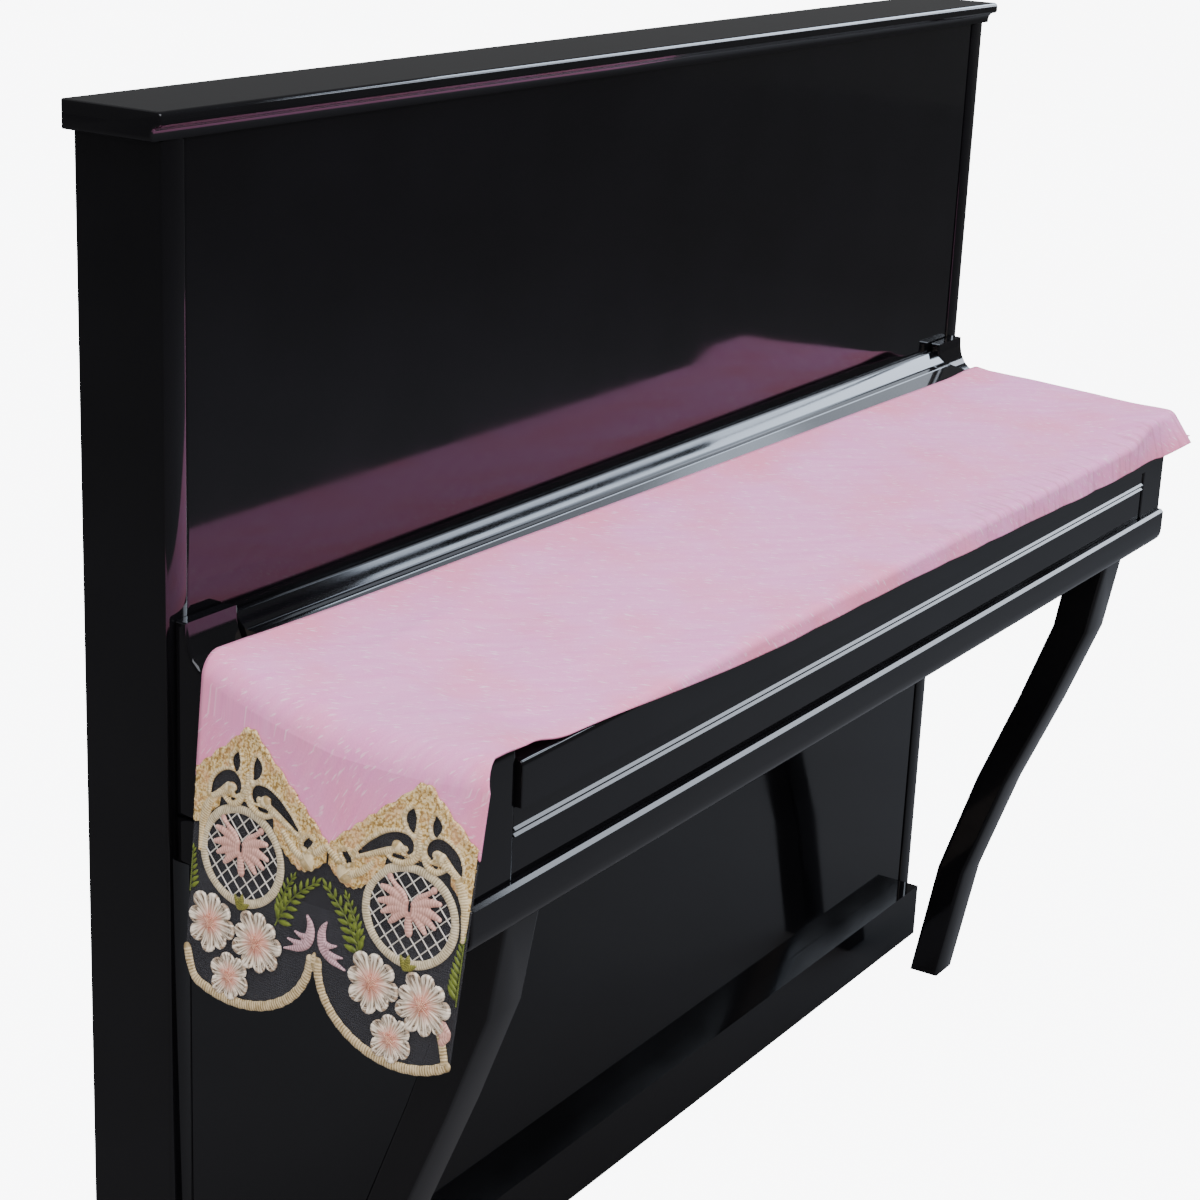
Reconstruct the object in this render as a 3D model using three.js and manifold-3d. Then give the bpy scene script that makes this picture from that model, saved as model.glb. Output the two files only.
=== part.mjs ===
import * as THREE from 'three';
import { mergeVertices } from 'three/addons/utils/BufferGeometryUtils.js';
import Module from 'manifold-3d';

// A keyboard cover with lace ends, lying over the closed key lid of a plain upright piano.
// Millimetres. +X is to the player's right, +Y to the back, +Z up. The origin is on the floor,
// below the middle of the upper panel's front face.

const { lerp, smoothstep, degToRad } = THREE.MathUtils;

// Piano case: its outer sizes, and the heights of its ledge
const piano = {
  width: 1498,
  height: 1237,
  backY: 90,
  boardThickness: 28,
  sideProud: 2,
  panelThickness: 20,
  panelSeamZ: 700,
  backThickness: 17,
  topThickness: 24,
  topOverhang: 14,
  seam: 0.4,
  edgeRound: 3,
  ledgeFrontY: -303,
  keyBedBottom: 607,
  keyBedTop: 650,
  bedRound: 4,
  slipTop: 712,
  slipSetBack: 6,
  slipThickness: 22,
  plinthHeight: 70,
  plinthFrontY: -30,
  stripRise: 10.5,
};

// Arms: blocks on the key bed beside the lid, their tops less steep than the lid
const arm = {
  outer: 740,
  inner: 673,
  frontY: -299,
  frontZ: 768,
  backY: -36,
  backZ: 782,
  shoulder: 10,
  sweepTop: 822,
  tipWidth: 12,
  sweepRound: 6,
  round: 4,
};
const armTop = (y) => lerp(arm.backZ, arm.frontZ, (y - arm.backY) / (arm.frontY - arm.backY));

// Leg: widths at its top and foot, how far it bows back, and where it stands
const leg = {
  topWidth: 48,
  footWidth: 38,
  bow: 150,
  setBack: 15,
  footBack: 175,
  thickness: 54,
  fromEnd: 76,
  bendHigh: 150,
  bendLow: 330,
  round: 6,
};

// Key lid: its top is a plane that falls towards the player
const lid = {
  frontY: -304,
  frontZ: 753,
  backY: -34,
  backZ: 800.3,
  thickness: 18,
  edgeRound: 5,
  lipDepth: 16,
};
lid.slope = (lid.backZ - lid.frontZ) / (lid.backY - lid.frontY);
lid.angle = Math.atan(lid.slope);

// Cover cloth: how it lies on the lid and turns over the lid's front edge
const cover = {
  width: 284,
  thickness: 1.6,
  backY: -50,
  skew: 12,
  restGap: 0.6,
  frontLift: 1.9,
  frontBendY: -299.5,
  frontBendRadius: 8,
  frontFold: degToRad(74),
  frontLeft: 3,
  frontMiddle: 18,
  frontRight: 13,
  middleFrom: -666,
  rightFrom: -222,
  frontWave: 2.2,
  waveLength: 195,
  sinkFrom: 677,
  sinkTo: 736,
  frontLiftWidth: 50,
  unfoldFrom: 640,
  unfoldTo: 735,
};

// The two ends of the cover: how the cloth climbs onto the arm, and where it hangs beside it.
// The lace's height is counted from hangX and hangZ
const ends = {
  left: {
    side: -1,
    liftFrom: 600,
    liftTo: 735,
    backLift: 2.4,
    frontLift: 14,
    armSink: 0,
    corner: 24,
    cornerFrom: 640,
    cornerTo: 735,
    unfold: 1,
    hangX: 750,
    hangZ: 784,
    turnOut: 12,
    lean: degToRad(9),
    bendRadius: 22,
    bendSwell: 6,
    bulge: 10,
    frontTuck: 0,
    backTopY: -42,
    backLowY: -55,
    frontTopY: -338,
    frontLowY: -332,
  },
  right: {
    side: 1,
    liftFrom: 600,
    liftTo: 668,
    backLift: 2.9,
    frontLift: 2.9,
    armSink: 1,
    corner: 26,
    cornerFrom: 600,
    cornerTo: 690,
    unfold: 0.3,
    hangX: 750,
    hangZ: 768,
    turnOut: 8,
    lean: degToRad(4),
    bendRadius: 24,
    bendSwell: 4,
    bulge: 7,
    frontTuck: 46,
    backTopY: -62,
    backLowY: -8,
    frontTopY: -337,
    frontLowY: -276,
  },
};

// Soft ridges on the cloth's top: middle, half length, half width, height and turn from +X
const ridges = [
  { x: -660, y: -185, reach: 110, spread: 34, rise: 3.2, turn: 74 },
  { x: -500, y: -105, reach: 150, spread: 30, rise: 2.4, turn: 14 },
  { x: -455, y: -205, reach: 140, spread: 28, rise: 1.8, turn: 10 },
  { x: -150, y: -150, reach: 210, spread: 40, rise: 1.6, turn: -8 },
  { x: 250, y: -215, reach: 190, spread: 34, rise: 1.9, turn: 12 },
  { x: 560, y: -130, reach: 150, spread: 36, rise: 2.2, turn: -16 },
];

// Lace end, in flat sizes: v across the cover from its back edge, s down from the hang line
const lace = {
  drop: 260,
  tuckFrom: 10,
  tuckTo: 64,
  plainFrom: 26,
  bulgeEnd: 230,
  repeatMiddles: [54, 226],
  scrollAxes: [60, 232],
  cuspV: 140,
  scallopTop: 195,
  scallopHalf: 86,
  scallopDepth: 64,
  bandWidth: 8,
  bandDrop: 9,
  cuspRise: 7,
  cornerWidth: 16,
  cornerLift: 28,
  edgeMargin: 1.5,
  groundMargin: 1.5,
  groundGap: 4,
  scrollTop: 28,
  scrollPitch: 0.86,
  scrollRound: 8,
  scrollReach: 85.4,
  scrollTuck: 7,
  pendantStart: 38,
  pendantDrop: 14,
  ringShift: 3,
  ringS: 132,
  ringHalfV: 46,
  ringHalfS: 42,
  ringWidth: 7.5,
  ringClear: 0.8,
  ruffle: 1.8,
  commaBend: 0.14,
  commaTaper: 0.8,
  butterflyRise: 8,
  trellisPitch: 12.4,
  trellisThread: 1.5,
  trellisLeast: 14,
};

// Heights off the cloth's inner face at which each layer of the lace starts and ends
const layers = {
  ground: { low: 0.3, high: 1.3 },
  ring: { low: 1.8, high: 2.8 },
  sprig: { low: 1.8, high: 2.7 },
  band: { low: 2.1, high: 3.1 },
  scroll: { low: 2.6, high: 3.6 },
  motif: { low: 3.4, high: 4.4 },
  bud: { low: 3.4, high: 4.2 },
  flower: { low: 3.4, high: 4.0 },
};

// Openings of one scroll cartouche, from its axis: outer ones lie towards the cover's side edge
const scrollOpenings = [
  { place: 'inner', across: 10.5, s: 56, length: 17, width: 8.5, turn: 80 },
  { place: 'outer', across: 10.5, s: 56, length: 17, width: 8.5, turn: 80 },
  { place: 'inner', across: 34, s: 85, length: 50, width: 13, turn: 26 },
  { place: 'outer', across: 25, s: 79.5, length: 33, width: 12, turn: 24 },
  { place: 'inner', across: 69, s: 102.5, length: 13, width: 7, turn: 20 },
];

// Outline of the butterfly motif: radius at an angle from straight down
const butterflyLobes = [
  { angle: 0, radius: 20 },
  { angle: 24, radius: 13 },
  { angle: 48, radius: 22 },
  { angle: 66, radius: 17 },
  { angle: 88, radius: 25 },
  { angle: 104, radius: 20 },
  { angle: 128, radius: 29 },
  { angle: 152, radius: 14 },
  { angle: 180, radius: 6 },
];

// Flowers of one cluster, from the middle of the repeat
const flowers = [
  { across: -25, s: 193, radius: 25.5, petals: 6, turn: 5 },
  { across: 25, s: 197, radius: 26, petals: 6, turn: 6 },
  { across: -2, s: 234, radius: 21, petals: 5, turn: 18 },
];

// Petals: how deep their lobes are, and how the flower rises to its middle
const petal = { depth: 0.2, bluntness: 0.7, eyeShare: 0.3, eyeRise: 0.9, middleRise: 1.5 };

// Fern sprigs: stem from base to tip, bowed sideways, with leaflets on the sides named
const ferns = [
  { name: 'inner_back', base: [100, 177], tip: [133, 135], bow: -5, leaflets: 6, size: 12.5, sides: [-1, 1] },
  { name: 'inner_front', base: [184, 177], tip: [149, 135], bow: 5, leaflets: 6, size: 14, sides: [-1, 1] },
  { name: 'edge_back', base: [3, 172], tip: [3.4, 146], bow: 0, leaflets: 4, size: 8, sides: [1] },
  { name: 'edge_front', base: [281, 186], tip: [280.6, 142], bow: 0, leaflets: 6, size: 11, sides: [-1] },
];
const leaflet = { stem: 1.1, root: 0.05, belly: 0.62, bellyAhead: 0.02, tipAhead: 0.11, taper: 0.55 };

// Crescent leaves at the cusp, and the bud leaf between two flowers
const cuspLeaf = { across: 30, s: 172, radius: 24, from: -28, to: 112, outer: 5, inner: 6, jags: 5 };
const budLeaf = { across: 4, s: 169.5, radius: 5.6, lobes: 3 };

const wasm = await Module();
wasm.setup();

const group = new THREE.Group();

function material(color, roughness, opacity = 1) {
  return new THREE.MeshStandardMaterial({
    color,
    roughness,
    metalness: 0,
    opacity,
    transparent: opacity < 1,
  });
}

const finish = {
  lacquer: material('#0d0e10', 0.12),
  suede: material('#d8b6c9', 0.95),
  net: material('#8f9090', 0.8, 0.25),
  creamThread: material('#d9cdb6', 0.6),
  pinkThread: material('#d9aeb0', 0.6),
  petal: material('#e6d2c6', 0.6),
  greenThread: material('#6f7a3f', 0.7),
};

// Closed surface with shared corners and its faces turned outwards
function closed(geometry) {
  geometry.deleteAttribute('normal');
  geometry.deleteAttribute('uv');
  const solid = mergeVertices(geometry, 1e-4);
  const position = solid.attributes.position;
  const index = solid.index.array;
  const [a, b, c] = [new THREE.Vector3(), new THREE.Vector3(), new THREE.Vector3()];
  let volume = 0;
  for (let i = 0; i < index.length; i += 3) {
    a.fromBufferAttribute(position, index[i]);
    b.fromBufferAttribute(position, index[i + 1]);
    c.fromBufferAttribute(position, index[i + 2]);
    volume += a.dot(b.cross(c));
  }
  if (volume < 0) {
    for (let i = 0; i < index.length; i += 3) {
      [index[i], index[i + 1]] = [index[i + 1], index[i]];
    }
  }
  return solid;
}

function add(name, geometry, look) {
  const mesh = new THREE.Mesh(geometry, look);
  mesh.name = name;
  group.add(mesh);
}

function fromIndexed(points, index) {
  const geometry = new THREE.BufferGeometry().setFromPoints(points);
  geometry.setIndex(index);
  return closed(geometry);
}

// Sheet between two grids of points, rows along the cover and columns across it
function sheetSolid(inner, outer) {
  const rows = inner.length;
  const columns = inner[0].length;
  const lastRow = rows - 1;
  const lastColumn = columns - 1;
  const at = (layer, i, j) => (layer * rows + i) * columns + j;
  const index = [];
  const quad = (a, b, c, d) => index.push(a, b, c, a, c, d);
  for (let i = 0; i < lastRow; i++) {
    for (let j = 0; j < lastColumn; j++) {
      quad(at(1, i, j), at(1, i + 1, j), at(1, i + 1, j + 1), at(1, i, j + 1));
      quad(at(0, i, j), at(0, i, j + 1), at(0, i + 1, j + 1), at(0, i + 1, j));
    }
    quad(at(0, i, 0), at(0, i + 1, 0), at(1, i + 1, 0), at(1, i, 0));
    quad(at(0, i + 1, lastColumn), at(0, i, lastColumn), at(1, i, lastColumn), at(1, i + 1, lastColumn));
  }
  for (let j = 0; j < lastColumn; j++) {
    quad(at(0, 0, j + 1), at(0, 0, j), at(1, 0, j), at(1, 0, j + 1));
    quad(at(0, lastRow, j), at(0, lastRow, j + 1), at(1, lastRow, j + 1), at(1, lastRow, j));
  }
  return fromIndexed([...inner.flat(), ...outer.flat()], index);
}

// Board of any YZ profile, running along X from x0 to x1, with eased edges at its ends
function board(profile, x0, x1, round = piano.edgeRound) {
  const geometry = new THREE.ExtrudeGeometry(profile, {
    depth: x1 - x0 - 2 * round,
    bevelSize: round,
    bevelThickness: round,
    bevelOffset: -round,
    bevelSegments: 2,
    curveSegments: 5,
  });
  geometry.translate(0, 0, x0 + round);
  const axes = new THREE.Matrix4().makeBasis(
    new THREE.Vector3(0, 1, 0),
    new THREE.Vector3(0, 0, 1),
    new THREE.Vector3(1, 0, 0),
  );
  return closed(geometry.applyMatrix4(axes));
}

function rectangle(y0, y1, z0, z1) {
  const points = [[y0, z0], [y1, z0], [y1, z1], [y0, z1]];
  return new THREE.Shape(points.map(([y, z]) => new THREE.Vector2(y, z)));
}

const lidTop = (y) => lid.frontZ + (y - lid.frontY) * lid.slope;

// Arm: stands on the key bed, with a round shoulder in front and a hollow sweep up to the side board
function armProfile() {
  const back = -piano.sideProud - piano.seam;
  const low = piano.keyBedTop + piano.seam;
  const { frontY, backY, shoulder, sweepTop } = arm;
  const tip = back - arm.tipWidth;
  const profile = new THREE.Shape();
  profile.moveTo(back, low);
  profile.lineTo(frontY, low);
  profile.lineTo(frontY, armTop(frontY) - shoulder);
  profile.quadraticCurveTo(frontY, armTop(frontY), frontY + shoulder, armTop(frontY + shoulder));
  profile.lineTo(backY, armTop(backY));
  profile.quadraticCurveTo(tip, armTop(backY) + arm.sweepRound, tip, sweepTop);
  profile.lineTo(back, sweepTop);
  return profile;
}

// Key lid: a sloping board with a lip turned down along its front
function keyLidProfile() {
  const front = lid.frontY;
  const round = lid.edgeRound;
  const inside = front + lid.lipDepth;
  const profile = new THREE.Shape();
  profile.moveTo(lid.backY, lidTop(lid.backY) - lid.thickness);
  profile.lineTo(lid.backY, lidTop(lid.backY));
  profile.lineTo(front + round, lidTop(front + round));
  profile.quadraticCurveTo(front, lidTop(front), front, lidTop(front) - round);
  profile.lineTo(front, piano.slipTop + piano.seam);
  profile.lineTo(inside, piano.slipTop + piano.seam);
  profile.lineTo(inside, lidTop(inside) - lid.thickness);
  return profile;
}

// Key slip: the rail under the lid's lip, with a pair of slanted beads along its upper part
function keySlipProfile() {
  const front = piano.ledgeFrontY + piano.slipSetBack;
  const back = front + piano.slipThickness;
  const beadReach = 2.2;
  const beadFoot = 1;
  const beadLow = 686.4;
  const beadPitch = 5.5;
  const profile = new THREE.Shape();
  profile.moveTo(back, piano.keyBedTop + piano.seam);
  profile.lineTo(front, piano.keyBedTop + piano.seam);
  for (const low of [beadLow, beadLow + beadPitch]) {
    profile.lineTo(front, low);
    profile.lineTo(front - beadReach, low + beadFoot);
    profile.lineTo(front, low + beadFoot + beadReach);
  }
  profile.lineTo(front, piano.slipTop);
  profile.lineTo(back, piano.slipTop);
  return profile;
}

// Key bed: its front stands a little proud, chamfered above and rounded underneath
function keyBedProfile() {
  const front = piano.ledgeFrontY - 3;
  const nose = 18;
  const chamfer = 3.2;
  const back = -piano.sideProud - piano.seam;
  const profile = new THREE.Shape();
  profile.moveTo(back, piano.keyBedBottom);
  profile.lineTo(front + nose, piano.keyBedBottom);
  profile.quadraticCurveTo(front, piano.keyBedBottom, front, piano.keyBedBottom + nose);
  profile.lineTo(front, piano.keyBedTop - chamfer);
  profile.lineTo(front + chamfer, piano.keyBedTop);
  profile.lineTo(back, piano.keyBedTop);
  return profile;
}

// Leg: a plain sabre curve from under the key bed to the floor
function legProfile() {
  const top = piano.keyBedBottom - piano.seam;
  const front = piano.ledgeFrontY + leg.setBack;
  const foot = front + leg.footBack;
  const [high, low] = [top - leg.bendHigh, top - leg.bendLow];
  const profile = new THREE.Shape();
  profile.moveTo(front, top);
  profile.bezierCurveTo(front, high, front + leg.bow, low, foot, 0);
  profile.lineTo(foot + leg.footWidth, 0);
  const back = front + leg.topWidth;
  profile.bezierCurveTo(front + leg.bow + leg.footWidth, low, back, high, back, top);
  return profile;
}

// Top lid: overhangs on three sides, with a rounded front edge over a hollow moulding
function topProfile() {
  const front = -piano.topOverhang;
  const low = piano.height - piano.topThickness;
  const slabLow = low + 12;
  const neck = -3;
  const step = 2;
  const round = 5;
  const profile = new THREE.Shape();
  profile.moveTo(piano.backY, low);
  profile.lineTo(neck, low);
  profile.quadraticCurveTo(neck, slabLow, front + step, slabLow);
  profile.lineTo(front, slabLow + step);
  profile.lineTo(front, piano.height - round);
  profile.quadraticCurveTo(front, piano.height, front + round, piano.height);
  profile.lineTo(piano.backY, piano.height);
  return profile;
}

function buildPiano() {
  const half = piano.width / 2;
  const { seam, boardThickness, panelThickness, panelSeamZ } = piano;
  const caseTop = piano.height - piano.topThickness - seam;
  const plinthTop = piano.plinthHeight + seam;
  const backFace = piano.backY - 1;
  const backY = backFace - piano.backThickness;
  const insideCase = half - boardThickness - seam;
  const insideArms = arm.inner - seam;
  const legOuter = arm.outer - leg.fromEnd;
  const strip = new THREE.Shape([
    new THREE.Vector2(-seam, lidTop(lid.backY) - lid.thickness),
    new THREE.Vector2(-seam, lidTop(lid.backY) + piano.stripRise),
    new THREE.Vector2(lid.backY + seam, lidTop(lid.backY) + seam),
    new THREE.Vector2(lid.backY + seam, lidTop(lid.backY) - lid.thickness),
  ]);
  const boards = [
    { name: 'top_lid', profile: topProfile(), reach: half + piano.topOverhang },
    { name: 'upper_panel', profile: rectangle(0, panelThickness, panelSeamZ, caseTop), reach: insideCase },
    {
      name: 'lower_panel',
      profile: rectangle(0, panelThickness, plinthTop, panelSeamZ - seam),
      reach: insideCase,
    },
    { name: 'back_panel', profile: rectangle(backY, backFace, plinthTop, caseTop), reach: insideCase },
    {
      name: 'plinth',
      profile: rectangle(piano.plinthFrontY, backFace, 0, piano.plinthHeight),
      reach: insideCase,
    },
    { name: 'key_bed', profile: keyBedProfile(), reach: arm.outer, round: piano.bedRound },
    { name: 'key_slip', profile: keySlipProfile(), reach: insideArms, round: 0.5 },
    { name: 'key_lid', profile: keyLidProfile(), reach: insideArms, round: 2 },
    { name: 'lid_strip', profile: strip, reach: insideArms, round: 2 },
  ];
  for (const { name, profile, reach, round } of boards) {
    add(name, board(profile, -reach, reach, round), finish.lacquer);
  }
  const pairs = [
    {
      name: 'side_board',
      profile: rectangle(-piano.sideProud, piano.backY, 0, caseTop),
      from: half - boardThickness,
      to: half,
    },
    { name: 'arm', profile: armProfile(), from: arm.inner, to: arm.outer, round: arm.round },
    { name: 'leg', profile: legProfile(), from: legOuter - leg.thickness, to: legOuter, round: leg.round },
  ];
  for (const { name, profile, from, to, round } of pairs) {
    add(`${name}_left`, board(profile, -to, -from, round), finish.lacquer);
    add(`${name}_right`, board(profile, from, to, round), finish.lacquer);
  }
}

// Height of the soft ridges at a place on the cloth's top
function ridgeHeight(x, y) {
  let height = 0;
  for (const ridge of ridges) {
    const turn = degToRad(ridge.turn);
    const along = (x - ridge.x) * Math.cos(turn) + (y - ridge.y) * Math.sin(turn);
    const across = (y - ridge.y) * Math.cos(turn) - (x - ridge.x) * Math.sin(turn);
    height += ridge.rise * Math.exp(-((along / ridge.reach) ** 2) - (across / ridge.spread) ** 2);
  }
  return height;
}

const endAt = (x) => (x < 0 ? ends.left : ends.right);

// How far the cloth runs on past the place where it starts to turn over the lid's front edge
function frontOver(x) {
  const middle = cover.frontMiddle * smoothstep(x, cover.middleFrom, cover.rightFrom);
  const right = cover.frontRight * smoothstep(x, cover.rightFrom, arm.outer);
  const end = endAt(x);
  const corner = end.corner * smoothstep(Math.abs(x), end.cornerFrom, end.cornerTo);
  return cover.frontLeft + middle + right + corner;
}

// Inner face of the cloth on the lid, at x and a fraction of its width from the back edge
function topPoint(x, fraction) {
  const [cos, sin] = [Math.cos(lid.angle), Math.sin(lid.angle)];
  const backEdge = cover.backY - (cover.skew * x) / arm.outer;
  const toBend = (backEdge - cover.frontBendY) / cos;
  const over = frontOver(x);
  const run = fraction * (toBend + over);
  const flatY = backEdge - run * cos;
  const nearFront = smoothstep(-flatY, -cover.frontBendY - cover.frontLiftWidth, -cover.frontBendY);
  const end = endAt(x);
  const reach = Math.abs(x);
  const rise = armTop(flatY) - lidTop(flatY);
  const armLift = lerp(end.backLift, end.frontLift, fraction);
  const lift =
    cover.restGap +
    (armLift + Math.max(rise, 0)) * smoothstep(reach, end.liftFrom, end.liftTo) +
    end.armSink * Math.min(rise, 0) * smoothstep(reach, cover.sinkFrom, cover.sinkTo) +
    cover.frontLift * nearFront +
    ridgeHeight(x, flatY) * (1 - nearFront);
  const flat = new THREE.Vector3(x, flatY, lidTop(flatY) + lift);
  if (run <= toBend) {
    return flat;
  }
  const radius = cover.frontBendRadius;
  const arc = Math.min((run - toBend) / radius, cover.frontFold);
  const rest = run - toBend - arc * radius;
  const angle = lid.angle + arc;
  const ripple = Math.sin((2 * Math.PI * x) / cover.waveLength) * Math.sin((2 * x) / cover.waveLength);
  const wave = cover.frontWave * ripple * (rest / cover.frontMiddle);
  const folded = new THREE.Vector3(
    x,
    cover.frontBendY - radius * (Math.sin(angle) - sin) - rest * Math.cos(angle) - Math.abs(wave),
    lidTop(cover.frontBendY) + lift - radius * (cos - Math.cos(angle)) - rest * Math.sin(angle),
  );
  return folded.lerp(flat, end.unfold * smoothstep(reach, cover.unfoldFrom, cover.unfoldTo));
}

// One in the middle of the cover's width, falling to nothing at its edges
function middleSwell(fraction) {
  return 1 - (2 * fraction - 1) ** 2;
}

// Point of the hanging end: s down from the hang line, off away from the cloth's inner face
function lacePoint(end, v, s, off) {
  const fraction = v / cover.width;
  const down = s / lace.drop;
  const backY = lerp(end.backTopY, end.backLowY, down);
  const frontY = lerp(end.frontTopY, end.frontLowY, down);
  const tuck = end.frontTuck * fraction ** 2 * smoothstep(s, lace.tuckFrom, lace.tuckTo);
  const out = end.bulge * middleSwell(fraction) * (1 - s / lace.bulgeEnd) + off;
  const reach = end.hangX + end.turnOut * fraction + s * Math.sin(end.lean) + out * Math.cos(end.lean);
  const z = end.hangZ - s * Math.cos(end.lean) + out * Math.sin(end.lean);
  return new THREE.Vector3(end.side * reach, lerp(backY, frontY, fraction) + tuck, z);
}

// Where one column of the cloth starts its bend over the arm, and where the bend ends
function bendOf(end, fraction) {
  const radius = end.bendRadius + end.bendSwell * middleSwell(fraction);
  const start = topPoint(end.side * (end.hangX + end.turnOut * fraction - radius), fraction);
  const centreZ = start.z - radius;
  const s = (end.hangZ - centreZ - radius * Math.sin(end.lean)) / Math.cos(end.lean);
  const low = lacePoint(end, fraction * cover.width, s, 0);
  const centreX = Math.abs(low.x) - radius * Math.cos(end.lean);
  return { radius, centreX, centreZ, startY: start.y, low, s };
}

// Outer contour of the scroll cartouches, as a height down the lace
function scrollContour(v) {
  const across = Math.min(...lace.scrollAxes.map((axis) => Math.abs(v - axis)));
  const round = lace.scrollRound;
  return lace.scrollTop + lace.scrollPitch * (Math.hypot(across, round) - round);
}

const clothColumns = [
  0, 0.065, 0.13, 0.2, 0.275, 0.35, 0.425, 0.5, 0.575, 0.65, 0.725, 0.8, 0.86, 0.905, 0.94, 0.97, 1,
];

// Edge of the cloth under the scrolls, straight between the cloth's columns
function clothEdge(v) {
  const fraction = v / cover.width;
  const next = Math.max(clothColumns.findIndex((column) => column >= fraction), 1);
  const [f0, f1] = [clothColumns[next - 1], clothColumns[next]];
  const [s0, s1] = [scrollContour(f0 * cover.width), scrollContour(f1 * cover.width)];
  return lace.scrollTuck + lerp(s0, s1, (fraction - f0) / (f1 - f0));
}

// One column of the cloth's inner face, from the left lace to the right lace
function clothColumn(fraction) {
  const v = fraction * cover.width;
  const bendSteps = 4;
  const turnSteps = 3;
  const hangSteps = 2;
  const topSteps = 32;
  const half = (end) => {
    const bend = bendOf(end, fraction);
    const points = [];
    for (let k = 0; k < bendSteps; k++) {
      const share = k / bendSteps;
      const angle = share * (Math.PI / 2 - end.lean);
      const reach = bend.centreX + bend.radius * Math.sin(angle);
      const z = bend.centreZ + bend.radius * Math.cos(angle);
      points.push(new THREE.Vector3(end.side * reach, lerp(bend.startY, bend.low.y, share), z));
    }
    for (let k = 0; k < turnSteps; k++) {
      points.push(lacePoint(end, v, lerp(bend.s, lace.plainFrom, k / turnSteps), 0));
    }
    for (let k = 0; k <= hangSteps; k++) {
      points.push(lacePoint(end, v, lerp(lace.plainFrom, clothEdge(v), k / hangSteps), 0));
    }
    return points;
  };
  const left = half(ends.left);
  const right = half(ends.right);
  const top = [];
  for (let k = 1; k < topSteps; k++) {
    top.push(topPoint(lerp(left[0].x, right[0].x, k / topSteps), fraction));
  }
  return [...left.reverse(), ...top, ...right];
}

// Grid pushed out along its own normals
function offsetGrid(grid, distance) {
  const lastRow = grid.length - 1;
  const lastColumn = grid[0].length - 1;
  return grid.map((row, i) =>
    row.map((point, j) => {
      const before = grid[Math.max(i - 1, 0)][j];
      const after = grid[Math.min(i + 1, lastRow)][j];
      const along = after.clone().sub(before);
      const across = row[Math.min(j + 1, lastColumn)].clone().sub(row[Math.max(j - 1, 0)]);
      const normal = across.cross(along).normalize();
      return point.clone().addScaledVector(normal, distance);
    }),
  );
}

function buildCloth() {
  const columns = clothColumns.map(clothColumn);
  const inner = columns[0].map((point, i) => columns.map((column) => column[i]));
  const outer = offsetGrid(inner, cover.thickness);
  add('cover_cloth', sheetSolid(inner, outer), finish.suede);
}

// Lower edge of the lace: an ellipse for each scallop, turned up at the cover's back corner
function cornerTurn(v) {
  return lace.cornerLift * Math.max(1 - v / lace.cornerWidth, 0) ** 2;
}

function scallopPoints(inset, drop, from, to, middle, steps) {
  const points = [];
  const half = lace.scallopHalf - inset;
  const depth = lace.scallopDepth - drop;
  const first = Math.asin(Math.max((from - middle) / half, -1));
  const last = Math.asin(Math.min((to - middle) / half, 1));
  for (let k = 0; k <= steps; k++) {
    const angle = lerp(first, last, k / steps);
    const v = middle + half * Math.sin(angle);
    const s = lace.scallopTop + depth * Math.cos(angle) - cornerTurn(v);
    points.push(new THREE.Vector2(v, s));
  }
  return points;
}

function buildGround(end, name) {
  const [back, front] = lace.repeatMiddles;
  const low = lace.edgeMargin / 2;
  const high = cover.width - low;
  const steps = 9;
  const lowEdge = [
    ...scallopPoints(0, lace.groundMargin, low, lace.cuspV, back, steps),
    ...scallopPoints(0, lace.groundMargin, lace.cuspV, high, front, steps).slice(1),
  ];
  const rowSteps = 6;
  const rows = [[], []];
  const { low: inside, high: outside } = layers.ground;
  for (let i = 0; i <= rowSteps; i++) {
    const along = (off) =>
      lowEdge.map(({ x: v, y: s }) => {
        return lacePoint(end, v, lerp(clothEdge(v) + lace.groundGap, s, i / rowSteps), off);
      });
    rows[0].push(along(inside));
    rows[1].push(along(outside));
  }
  add(`lace_ground_${name}`, sheetSolid(rows[0], rows[1]), finish.net);
}

// Lays flat lace geometry onto an end of the cover
function lay(end, flat) {
  const position = flat.attributes.position;
  for (let i = 0; i < position.count; i++) {
    const point = lacePoint(end, position.getX(i), position.getY(i), position.getZ(i));
    position.setXYZ(i, point.x, point.y, point.z);
  }
  return closed(flat);
}

function plate(end, shape, layer) {
  const flat = new THREE.ExtrudeGeometry(shape, { depth: layer.high - layer.low, bevelEnabled: false });
  flat.translate(0, 0, layer.low);
  return lay(end, flat);
}

function outline(points) {
  return new THREE.Shape(points.map(([v, s]) => new THREE.Vector2(v, s)));
}

// Comma-shaped opening, bent along its length, wide at its head and narrow at its tail
function comma(v, s, opening, mirror) {
  const steps = 6;
  const turn = degToRad(opening.turn);
  const bend = lace.commaBend * opening.length;
  const place = (along, across) => [
    v + mirror * (along * Math.cos(turn) - across * Math.sin(turn)),
    s + along * Math.sin(turn) + across * Math.cos(turn),
  ];
  const edge = (side) => {
    const points = [];
    for (let k = 0; k <= steps; k++) {
      const share = k / steps;
      const taper = 1 + lace.commaTaper * (0.25 - share);
      const half = (opening.width / 2) * Math.sqrt(Math.sin(Math.PI * share)) * taper;
      const bow = -bend * Math.sin(Math.PI * share);
      points.push(place((share - 0.5) * opening.length, bow + side * half));
    }
    return points;
  };
  return [...edge(1), ...edge(-1).slice(1, -1).reverse()];
}

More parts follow.
